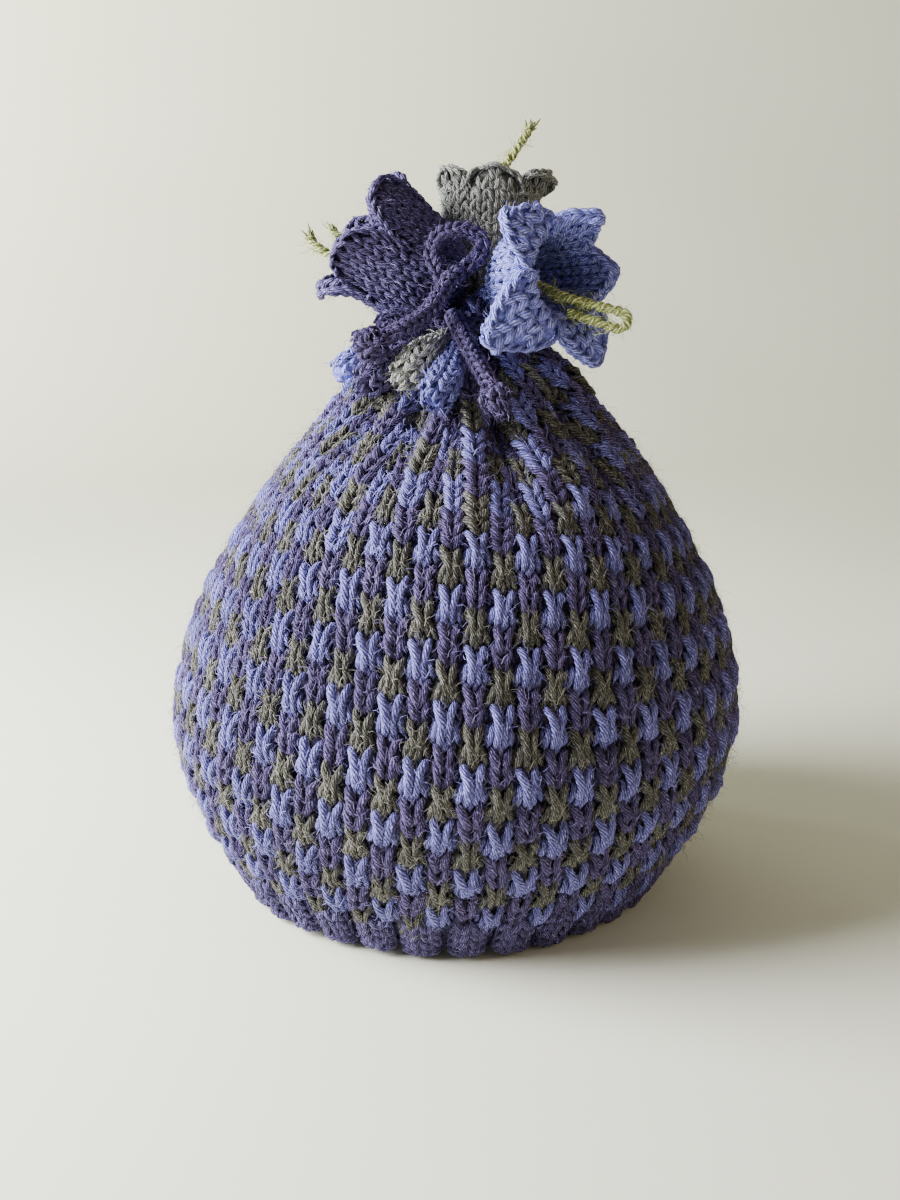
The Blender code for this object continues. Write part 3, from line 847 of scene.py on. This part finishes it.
# Three layers of flat fibres lie on every block and, off the hem, a fourth of fine ones stands up.
block_tufts = [stray_tuft(seed, 12, (3.9, 5.4), 3.0, 2.0) for seed in range(8)]
block_tufts += [stray_tuft(seed, 4, (3.6, 5.0), 3.0, 3.6, upright=1.0, fine=0.6) for seed in range(8, 12)]
fluff_pieces = []
for number, colour in enumerate(BLOCKS):
    chance = random.Random(70 + number)
    marks = [
        (place, along, out, Vector((min(room.x, MM), room.y, room.z)),
         8 + chance.randrange(4) if layer == 3 else chance.randrange(8), chance.random())
        for place, along, out, room, *_ in placed[colour] for layer in range(4 if place.z > 0.022 else 3)
    ]
    fluff_pieces.append(knit(
        f"{colour}_fluff", marks, block_tufts, FLUFF[colour], unevenness=0.12, lean=0.14, seed=90 + number,
    ))
for piece in (cloth, *blocks, *fluff_pieces):
    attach(piece, "root")
    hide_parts("cosy_wall")

# ---- The hem ------------------------------------------------------------------------------------
# A drawn-in edge of knit-two, purl-two rib in violet wool, 36 soft scallops round the foot of the
# wall. Knit columns stand up and purl columns lie back between them.

SCALLOPS, SCALLOP_DEPTH, HEM_ROW, HEM_ROWS, FIRST_ROW, EDGE_ROW = 36, 5.0, 3.5, 4, 3.4, 2.6
PURL_BAR = [
    (-0.62, -0.1, -0.25), (-0.36, 0.1, 0.15), (0.0, 0.16, 0.28), (0.36, 0.1, 0.15), (0.62, -0.1, -0.25),
]
EDGE_LOOP = [
    (-0.56, 0.45, -0.2), (-0.5, 0.0, 0.22), (-0.24, -0.34, 0.32), (0.24, -0.34, 0.32), (0.5, 0.0, 0.22),
    (0.56, 0.45, -0.2),
]
STITCH_KINDS = ((both_sides(PLAIN_ARM), 0.25, 4), ([PURL_BAR], 0.22, 2), ([EDGE_LOOP], 0.26, 2))
hem_stitches = [
    stitch_mesh([(route, thick) for route in routes], 0.05, seed, unit=3.4)
    for routes, thick, alike in STITCH_KINDS for seed in range(alike)
]
# Each kind's room in mm, its width a share of the wale's, and its first stitch and how many it has.
HEM_KINDS = {"knit": (1, 4.0, 3.3, 0, 4), "purl": (1.5, 3.4, 3.0, 4, 2), "loop": (1, 3.2, 3.4, 6, 2)}
# One scallop across: (place from its middle in columns, how far it is turned sideways in degrees,
# its width in columns and the stitches' kind), knit wales in the middle and purl bars at the edges.
SCALLOP = (
    (-0.62, 14, 1.5, "knit"), (0.62, -14, 1.5, "knit"),
    (-1.16, 62, 1.2, "knit"), (1.16, -62, 1.2, "knit"), (-2.0, 0, 1.1, "purl"),
)


def hem_marks():
    """The hem's stitches, row by row round every scallop, with a loop under each knit wale."""
    chance = random.Random(31)
    marks = []
    for scallop in range(SCALLOPS):
        rise, swell = chance.uniform(0, 1.1), chance.uniform(-0.5, 0.4)
        for off, turned, wide, kind in SCALLOP:
            column = 4 * scallop + 1.5 + off
            half = int(column // HALF) % 2
            for row in range(0 if kind == "purl" else -1, HEM_ROWS):
                height = EDGE_ROW + 0.5 * abs(off)
                if row >= 0:
                    height = FIRST_ROW + HEM_ROW * row + chance.uniform(-0.2, 0.25)
                height += rise * (1 - max(row, 0) / HEM_ROWS)
                below = 0.4 + swell + SCALLOP_DEPTH * (abs(off) / 2) ** 2.0
                place, along = up_the_wall(column, half, height, below)
                along.normalize()
                crown, inner = (wall_place(column, half, height, depth) for depth in (0, 4))
                turn = Matrix.Rotation(math.radians(-turned), 3, along)
                out = (turn @ (crown - inner).normalized()).normalized()
                share, tall, deep, first, alike = HEM_KINDS[kind if row >= 0 else "loop"]
                across = wide * math.tau * through(PROFILE, height) / COLUMNS * share
                room = Vector((across, tall, deep)) * MM
                marks.append((place * MM, along, out, room, first + chance.randrange(alike), chance.random()))
    return marks


HEM_WOOL = plied_wool("blue violet wool", (0.022, 0.018, 0.055), (0.098, 0.076, 0.205), (0.33, 0.285, 0.62))
hem_placed = hem_marks()
hem_tufts = [stray_tuft(seed, 8, (2.0, 2.2), 1.1, 1.7) for seed in range(20, 26)]
hem = knit("hem_rib", hem_placed, hem_stitches, HEM_WOOL, unevenness=0.08, lean=0.1, loft=0.0002, seed=41)
chance = random.Random(43)
hem_fluff = knit("hem_fluff", [
    (place, along, out, Vector((1, 0.9, 1)) * MM, chance.randrange(len(hem_tufts)), chance.random())
    for place, along, out, *_ in hem_placed[::2] if place.z > 0.0042
], hem_tufts, FLUFF["blue violet"], unevenness=0.12, lean=0.14, seed=42)
for piece in (hem, hem_fluff):
    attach(piece, "root")
    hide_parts("cosy_wall")

# ---- The neck cord and the bow ------------------------------------------------------------------
# The same violet knitted cord, drawn round the gathered neck and knotted into one standing loop.

NECK_HEIGHT, NECK_RADIUS = 178.2, 17.9
neck_route = []
for turn in range(41):
    angle = math.tau * turn / 40
    height = NECK_HEIGHT + 0.5 * math.sin(5 * angle)
    x, y = NECK_RADIUS * math.cos(angle), NECK_RADIUS * math.sin(angle)
    neck_route.append((LEAN * (height - AXIS_HEIGHT) + x, y, height, CORD_RADIUS))
BOW_LOOP = (
    (-6.0, -18.2, 180.9), (-5.6, -20.4, 185.2), (-3.6, -21.6, 189.6), (-5.4, -21.4, 194.0),
    (-7.0, -20.8, 198.6), (-4.2, -20.0, 203.2), (2.4, -19.4, 204.4), (7.2, -20.0, 201.4),
    (5.6, -22.2, 196.6), (1.6, -24.9, 193.6),
)
for name, route in (("neck_cord", neck_route), ("bow_loop", [(*row, CORD_RADIUS) for row in BOW_LOOP])):
    pieces, _ = knitted_tube(
        name, route, CORD_CORE, VIOLET_CORE, VIOLET_WOOL, CORD_ROWS, (len(name), 5, 160 + len(name)),
        "violet",
    )
    for piece in pieces:
        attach(piece, "root")
        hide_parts(name)

# ---- The knots at the tie's ends ----------------------------------------------------------------
# Each end of the cord is tied in a fat knot, a short swollen tube of untidy stitches.

# Each row is (x, y, z, radius) in mm.
KNOTS = {
    "knot_left": ((-21.4, -33.8, 174.9, 2.6), (-22.4, -33.8, 174.4, 4.3), (-24.6, -33.6, 173.2, 4.7),
                  (-26.6, -33.4, 172.2, 4.0), (-28.0, -33.2, 171.6, 1.6)),
    "knot_right": ((9.9, -43.1, 161.6, 2.4), (10.4, -44.0, 160.6, 3.9), (11.0, -45.0, 159.4, 3.9),
                   (11.8, -46.2, 158.0, 2.3), (12.4, -47.2, 156.8, 2.9), (13.0, -48.0, 155.8, 1.2)),
}
for name, route in KNOTS.items():
    pieces, _ = knitted_tube(
        name, route, 0.84, VIOLET_CORE, VIOLET_WOOL, (1.7, 7, 0.6), (len(name), 6, 170 + len(name)), "violet",
        lift=0.5, step=0.6, unevenness=0.2, lean=0.4, loft=0.0003,
    )
    for piece in pieces:
        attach(piece, "root")
        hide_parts(name)

# ---- The buds -----------------------------------------------------------------------------------
# Five closed knitted buds on thin stems that hang from the neck over the left front shoulder, each
# a knitted tube that swells and closes, with its stitches in upright rows.

BUDS = {
    "bud_grey": ("silver", (
        (-3.0, -18.3, 174.9, 1.6), (-6.0, -24.0, 173.2, 2.8), (-9.4, -28.6, 170.4, 4.8),
        (-12.4, -32.2, 167.0, 5.4), (-15.0, -34.6, 164.6, 4.4), (-16.4, -35.8, 163.2, 1.8),
    )),
    "bud_periwinkle": ("iris", (
        (1.8, -19.3, 174.9, 1.4), (0.2, -25.4, 171.6, 2.4), (-1.6, -31.2, 167.9, 4.0),
        (-3.6, -38.2, 163.6, 5.2), (-5.8, -42.6, 160.6, 5.0), (-7.2, -45.0, 158.8, 2.0),
    )),
    "bud_blue": ("blue", (
        (-13.3, -9.9, 174.8, 1.6), (-19.6, -13.4, 172.4, 2.6), (-24.6, -16.0, 170.0, 3.8),
        (-28.8, -18.4, 167.5, 4.6), (-32.6, -20.8, 164.8, 4.6), (-34.8, -22.2, 163.3, 2.0),
    )),
    "bud_violet": ("violet", (
        (-8.6, -14.9, 174.9, 1.6), (-13.4, -19.2, 172.0, 3.0), (-17.8, -22.6, 169.2, 4.5),
        (-21.4, -25.4, 166.2, 5.0), (-25.2, -28.2, 163.0, 5.2), (-27.6, -29.8, 161.0, 2.4),
    )),
    "bud_small": ("violet", (
        (-11.6, -13.2, 180.8, 1.6), (-16.0, -17.6, 179.8, 2.3), (-19.2, -20.4, 178.9, 2.9),
        (-21.4, -22.4, 178.5, 2.7), (-22.8, -23.6, 178.3, 1.2),
    )),
}
BUD_FULLNESS = 0.9
# The buds' and flowers' insides, coloured darker than their wool as painted shade between their stitches.
PALE_CORE = shade_painted_core("inside of grey knitting", (0.12, 0.118, 0.108))
BLUE_CORE = shade_painted_core("inside of periwinkle knitting", (0.2, 0.215, 0.7))
IRIS_CORE = shade_painted_core("inside of deep periwinkle knitting", (0.06, 0.06, 0.22))
# By colour: (slot, colour of the loose fibres, inside of the knitting, soft six-ply wool).
SOFT_YARNS = {
    colour: (slot, loose, core, plied_wool(called, *shades, plies=6))
    for colour, slot, loose, core, called, *shades in (
        ("pale", "grey_yarn", "pale", PALE_CORE, "pale grey wool",
         (0.11, 0.11, 0.1), (0.3, 0.305, 0.29), (0.64, 0.67, 0.64)),
        # The grey bud's wool: the same pale grey yarn made much brighter, painted light that makes up for the
        # tail's shadow over the bud.
        ("silver", "grey_yarn", "pale", PALE_CORE, "silver wool",
         (0.2, 0.2, 0.19), (0.76, 0.77, 0.73), (1.0, 1.0, 0.98)),
        ("blue", "periwinkle_yarn", "blue", BLUE_CORE, "blue periwinkle wool",
         (0.13, 0.135, 0.62), (0.35, 0.37, 1.0), (0.6, 0.62, 1.0)),
        ("iris", "periwinkle_yarn", "light", IRIS_CORE, "deep periwinkle wool",
         (0.045, 0.042, 0.19), (0.22, 0.225, 0.7), (0.46, 0.48, 1.0)),
        ("violet", "violet_yarn", "blue violet", VIOLET_CORE, "soft violet wool",
         (0.02, 0.015, 0.05), (0.118, 0.095, 0.245), (0.36, 0.31, 0.68)),
    )
}
for name, (colour, route) in BUDS.items():
    route = [(x, y, z, radius * BUD_FULLNESS) for x, y, z, radius in route]
    slot, loose, core, wool = SOFT_YARNS[colour]
    pieces, _ = knitted_tube(
        name, route, 0.84, core, wool, (2.9, 7, 0.6), (len(name), 7, 180 + len(name)), loose, lift=0.4,
        sides=14, unevenness=0.1, lean=0.12,
    )
    for piece in pieces:
        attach(piece, "root")
        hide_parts(name)

# ---- The flowers --------------------------------------------------------------------------------
# Three knitted bells of plain knitting, each cup worked round and parted into five pointed petals
# that roll outward. Their stitches show on both sides, and chains edge the petals.

# By name: the wool, the middle of the base, the way the bell opens, the way to its first petal, the
# length of its curved base, the length up to the notches, each petal's (length, outward bend in
# degrees), and how pointed the petals are.
FLOWERS = {
    "flower_left": ("violet", (0.1, 0.1, 185.0), (-0.82, -0.1, 0.56), (0.42, -0.6, 0.6), 25, 34.5,
                    ((13, 2), (10, 26), (12, 20), (11, 34), (13, 4)), 0.1),
    "flower_back": ("pale", (8.8, 8.8, 182.4), (0.05, 0.28, 0.96), (0.05, -1, 0), 21, 41,
                    ((5, 4), (7, 52), (7, 28), (7, 30), (6, 14)), 0.4),
    "flower_right": ("blue", (13.2, -9.2, 190.0), (0.68, -0.72, 0.11), (0.255, 0.226, 0.94), 21, 32,
                     ((10, 12), (12, 112), (18, 122), (13, 84), (8, 0)), 0.72),
}
PETALS, NOTCH = 5, 3.0
BASE_SLOPE, SIDE_SLOPE, ROLL_BELOW, ROLL_ABOVE = 88, 2, 4, 6
KNIT_THICKNESS, OUTER_SKIN, INNER_SKIN = 2.2, 0.7, 1.9
ARC_STEP, TURN_STEPS = 0.25, 7200


class Bell:
    """The curved surface of one knitted bell, in mm: place(turn, arc) is a point of its outside."""

    def __init__(self, centre, opens, first, belly, side, petals, point):
        self.centre, self.belly, self.side = Vector(centre), belly, side
        self.petals, self.point = petals, point
        self.axis = Vector(opens).normalized()
        self.across = (Vector(first) - self.axis * self.axis.dot(Vector(first))).normalized()
        self.beside = self.axis.cross(self.across)
        self.sections = {}

    def petal(self, turn):
        """(length past the notches, outward turn) at a place round the bell, from 0 to 1."""
        nearest = round(turn * PETALS)
        off = 2 * (turn * PETALS - nearest)
        length, bend = self.petals[nearest % PETALS]
        beside = self.petals[(nearest + (1 if off > 0 else -1)) % PETALS][1]
        share = off * off / 2
        taper = max(self.point * abs(off), abs(off) ** 3.4)
        return length - (length + NOTCH) * taper, bend * (1 - share) + beside * share

    def reach(self, turn):
        return self.side + self.petal(turn)[0]

    def section(self, turn):
        """(radius, depth) at every step along one section."""
        key = round(turn * TURN_STEPS) % TURN_STEPS
        if key not in self.sections:
            bend = self.petal(turn)[1]
            radius = depth = arc = 0.0
            places = [(0.0, 0.0)]
            while arc < self.side + 20:
                if arc < self.belly:
                    slope = BASE_SLOPE + (SIDE_SLOPE - BASE_SLOPE) * arc / self.belly
                else:
                    t = clamp((arc - self.side + ROLL_BELOW) / (ROLL_BELOW + ROLL_ABOVE))
                    slope = SIDE_SLOPE + bend * t * t * (3 - 2 * t)
                radius += ARC_STEP * math.sin(math.radians(slope))
                depth += ARC_STEP * math.cos(math.radians(slope))
                arc += ARC_STEP
                places.append((radius, depth))
            self.sections[key] = places
        return self.sections[key]

    def place(self, turn, arc):
        places = self.section(turn)
        spot = min(max(arc / ARC_STEP, 0), len(places) - 1.001)
        (r0, d0), (r1, d1) = places[int(spot)], places[int(spot) + 1]
        share = spot - int(spot)
        radius, depth = r0 + (r1 - r0) * share, d0 + (d1 - d0) * share
        angle = math.tau * turn
        away = self.across * math.cos(angle) + self.beside * math.sin(angle)
        return self.centre + self.axis * depth + away * radius

    def frame(self, turn, arc):
        """(point, along, out, width of a whole turn) with along running to the petals' tips."""
        step = 0.004
        point = self.place(turn, arc)
        along = (self.place(turn, arc + 0.6) - self.place(turn, max(arc - 0.6, 0))).normalized()
        round_it = self.place(turn + step, arc) - self.place(turn - step, arc)
        out = round_it.cross(along).normalized()
        return point, along, out, round_it.length / (2 * step)


def bell_shell(bell, columns=100, rows=21):
    """The closed knitted shell, a little inside the bell's own surface on both faces."""
    bm = bmesh.new()
    faces_out, faces_in = [], []
    for column in range(columns):
        turn = column / columns
        reach = bell.reach(turn) - 0.2
        ring_out, ring_in = [], []
        for row in range(1, rows + 1):
            point, _, out, _ = bell.frame(turn, reach * (row / rows) ** 0.9)
            ring_out.append(bm.verts.new((point - out * OUTER_SKIN) * MM))
            ring_in.append(bm.verts.new((point - out * INNER_SKIN) * MM))
        faces_out.append(ring_out)
        faces_in.append(ring_in)
    pole_out, pole_in = (
        bm.verts.new((bell.centre + bell.axis * skin) * MM) for skin in (OUTER_SKIN, INNER_SKIN)
    )
    for column in range(columns):
        following = (column + 1) % columns
        for rings, pole in ((faces_out, pole_out), (faces_in, pole_in)):
            a, b = rings[column], rings[following]
            bm.faces.new((pole, b[0], a[0]))
            for row in range(rows - 1):
                bm.faces.new((a[row], b[row], b[row + 1], a[row + 1]))
        bm.faces.new([rings[place][-1] for rings, place in (
            (faces_out, column), (faces_out, following), (faces_in, following), (faces_in, column),
        )])
    for face in bm.faces:
        face.smooth = True
    bmesh.ops.recalc_face_normals(bm, faces=bm.faces)
    return bm


STITCH_WIDE, STITCH_TALL, EDGE_STITCH, RIM_STEPS = 3.5, 3.4, 3.2, 600
STEM_FOOT, STEM_RADIUS = Vector((2.0, -1.0, 177.0)), 3.4


def bell_marks(bell, inside, seed):
    """Plain stitches on the outside or the inside, in rows up the bell and its petals."""
    chance = random.Random(seed)
    marks = []
    longest = bell.side + max(length for length, _ in bell.petals)
    for row in range(1, int(longest / STITCH_TALL) + 1):
        arc = row * STITCH_TALL
        around = bell.frame(0.5 / PETALS, min(arc, bell.side))[3]
        wales = max(5, 5 * round(around / STITCH_WIDE / 5))
        for wale in range(wales):
            turn = wale / wales
            if arc > bell.reach(turn) - 1.6:
                continue
            point, along, out, round_length = bell.frame(turn, arc)
            room = Vector((round_length / wales * 1.08, STITCH_TALL * 1.1, 3.0)) * MM
            place = (point - out * (KNIT_THICKNESS - 0.4 if inside else OUTER_SKIN)) * MM
            marks.append((place, along, -out if inside else out, room, chance.randrange(4), chance.random()))
    return marks


def edge_marks(bell, seed):
    """The chain of slipped stitches along every petal's edge."""
    chance = random.Random(seed)
    turns = [k / RIM_STEPS for k in range(RIM_STEPS)]
    rim = [bell.place(turn, bell.reach(turn) - 0.4) for turn in turns]
    room = Vector((4.4, 4.3, 3.3)) * MM
    marks, due = [], 0.0
    for k, (turn, travelled) in enumerate(zip(turns, distances(rim))):
        if travelled < due:
            continue
        due += EDGE_STITCH
        along = (rim[(k + 1) % RIM_STEPS] - rim[k - 1]).normalized()
        _, up, out, _ = bell.frame(turn, bell.reach(turn) - 0.6)
        place = (rim[k] - out * (KNIT_THICKNESS / 2 - 0.1)) * MM
        away = (up - along * along.dot(up)).normalized()
        marks.append((place, along, away, room, chance.randrange(4), chance.random()))
    return marks


for number, (name, (colour, *shape)) in enumerate(FLOWERS.items()):
    slot, loose, inside, wool = SOFT_YARNS[colour]
    bell = Bell(*shape)
    shell = new_piece(name + "_cup", bell_shell(bell), inside)
    marks = bell_marks(bell, False, number) + bell_marks(bell, True, number + 3)
    marks += edge_marks(bell, number + 6)
    knitted = knit(name + "_stitches", marks, hem_stitches, wool, unevenness=0.09, lean=0.12, loft=0.0001,
                   seed=60 + number)
    fluff = fluff_over(name + "_fluff", marks, loose, 190 + number, lift=0.4)
    stem = (bell.centre + bell.axis * 1.2, bell.centre.lerp(STEM_FOOT, 0.55), STEM_FOOT)
    stem = [(*point, STEM_RADIUS) for point in stem]
    stem_core, _ = tube_core(name + "_stem", stem, 0.78, inside)
    stem_knit = knit(name + "_stem_stitches", tube_marks(stem, 2.4, 7, sink=0.8, seed=number), plain_stitches,
                     wool, seed=8)
    for piece in (shell, knitted, fluff, stem_core, stem_knit):
        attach(piece, "root")
        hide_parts(name)
    bell.reach(0) * MM

# ---- The stamens --------------------------------------------------------------------------------
# Ends of plied green wool sewn into the bottom of each bell. The right bell has one doubled back
# into a loop.

GREEN_WOOL = plied_wool(
    "green wool", (0.23, 0.255, 0.07), (0.62, 0.68, 0.26), (0.88, 0.92, 0.56), twist=0.55, plies=4,
)
STAMENS = {
    "stamen_left_a": ((-6.3, -2.6, 189.2), (-17.4, -3.4, 195.8), (-28.8, -3.2, 198.4), (-36.3, -2.6, 197.2),
                      (-41.6, -1.6, 199.8), (-43.8, -0.8, 203.0)),
    "stamen_left_b": ((-6.3, 0.9, 189.4), (-17.4, 1.4, 197.6), (-28.8, 2.2, 201.2), (-34.0, 2.4, 201.8),
                      (-37.2, 2.6, 204.8)),
    "stamen_back": ((9.0, 9.6, 185.2), (9.6, 13.0, 204.0), (12.4, 15.4, 219.0), (17.4, 15.0, 227.0),
                    (22.6, 15.0, 234.4)),
    "stamen_right": ((15.1, -11.2, 190.4), (21.6, -19.4, 190.0), (29.0, -28.6, 186.8), (38.0, -33.4, 184.4),
                     (46.0, -36.4, 182.4), (47.2, -37.6, 179.8), (44.6, -37.6, 178.2), (38.0, -35.4, 180.2),
                     (31.0, -32.4, 182.4)),
}
PLY_TWIST, PLY_OFFSET = 5.4, 0.66
FRAYED, FRAYED_LENGTH = 14, 2.4
chance = random.Random(37)
for name, route in STAMENS.items():
    bm = bmesh.new()
    rows = smooth_route(route, 0.35)
    for ply in (0, 1):
        strand = []
        for travelled, (point, _, side, out) in zip(distances(rows), frames_along(rows)):
            angle = -math.tau * travelled / PLY_TWIST + math.pi * ply + 0.5 * math.sin(travelled * 1.3)
            strand.append(point + (side * math.cos(angle) + out * math.sin(angle)) * PLY_OFFSET)
        lay_strand(bm, strand, 0.92, 7, flat=1.0, taper=0.8)
    tip, onward = rows[-1], (rows[-1] - rows[-9]).normalized()
    for _ in range(0 if name == "stamen_right" else FRAYED):
        way, begin, bend = (
            middle + Vector([chance.gauss(0, spread) for _ in range(3)])
            for middle, spread in ((onward, 0.15), (tip - onward * FRAYED_LENGTH, 0.45), (Vector(), 0.35))
        )
        lay_strand(bm, [begin + way * (1.1 * k) + bend * (0.25 * k * k) for k in range(4)], 0.42, 4, flat=1.0,
                   taper=0.4)
    bmesh.ops.scale(bm, vec=(MM, MM, MM), verts=bm.verts)
    stamen = new_piece(name + "_yarn", bm, GREEN_WOOL)
    marks = tube_marks([(*row, 1.0) for row in route], 2.4, 3, seed=len(name))
    for piece in (stamen, fluff_over(name + "_fluff", marks, "green", 200 + len(name))):
        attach(piece, "root")
        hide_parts(name)

# ---- The floor and the light --------------------------------------------------------------------
# A plain pale sweep of paper, and the soft light of one window on the left with a warm dim room
# on the right.

BEND_PLACE, BEND_RADIUS = 0.75, 0.55
sweep = [(-2.5, 0.0), (BEND_PLACE, 0.0)]
sweep += [
    (BEND_PLACE + BEND_RADIUS * math.sin(angle), BEND_RADIUS - BEND_RADIUS * math.cos(angle))
    for angle in (math.radians(turn) for turn in range(10, 91, 10))
]
sweep += [(1.3, 2.6)]
bm = bmesh.new()
edges = [[bm.verts.new((x, y, z)) for y, z in sweep] for x in (-3, 3)]
for near, far in zip(range(len(sweep) - 1), range(1, len(sweep))):
    bm.faces.new((edges[0][near], edges[1][near], edges[1][far], edges[0][far])).smooth = True
paper, paper_shader, start = new_material("pale paper", 0.85, 0.5)
clouds = start.node("ShaderNodeTexCoord", {}, out=3).noise(3, 2).ramp(0.3, 0.7)
clouds.between((0.745, 0.75, 0.625, 1), (0.785, 0.79, 0.665, 1)).feed(paper_shader["Base Color"])
floor = new_piece("floor", bm, paper)

# The lamps: name, place, what they point at, watts, size in metres and colour.
for name, place, aim, power, size, colour in (
    ("window", (-0.62, -0.1, 0.4), (0, 0.02, 0.1), 29, 0.5, (0.98, 0.99, 1.0)),
    ("room", (1.0, -0.5, 0.5), (0, 0, 0.1), 3.0, 0.8, (1.0, 0.8, 0.56)),
    ("backdrop", (-1.0, 0.7, 0.7), (-0.7, 1.3, 0.45), 26, 0.5, (1.0, 1.0, 0.88)),
):
    lamp = bpy.data.lights.new(name, "AREA")
    lamp.energy, lamp.size, lamp.color = power, size, colour
    light = bpy.data.objects.new(name, lamp)
    bpy.context.scene.collection.objects.link(light)
    light.location = place
    light.rotation_euler = (Vector(aim) - Vector(place)).to_track_quat("-Z", "Y").to_euler()

sky = bpy.data.worlds.new("room light")
sky.use_nodes = True
background = sky.node_tree.nodes["Background"].inputs
background["Color"].default_value = (0.94, 0.88, 0.76, 1)
background["Strength"].default_value = 0.21
bpy.context.scene.world = sky
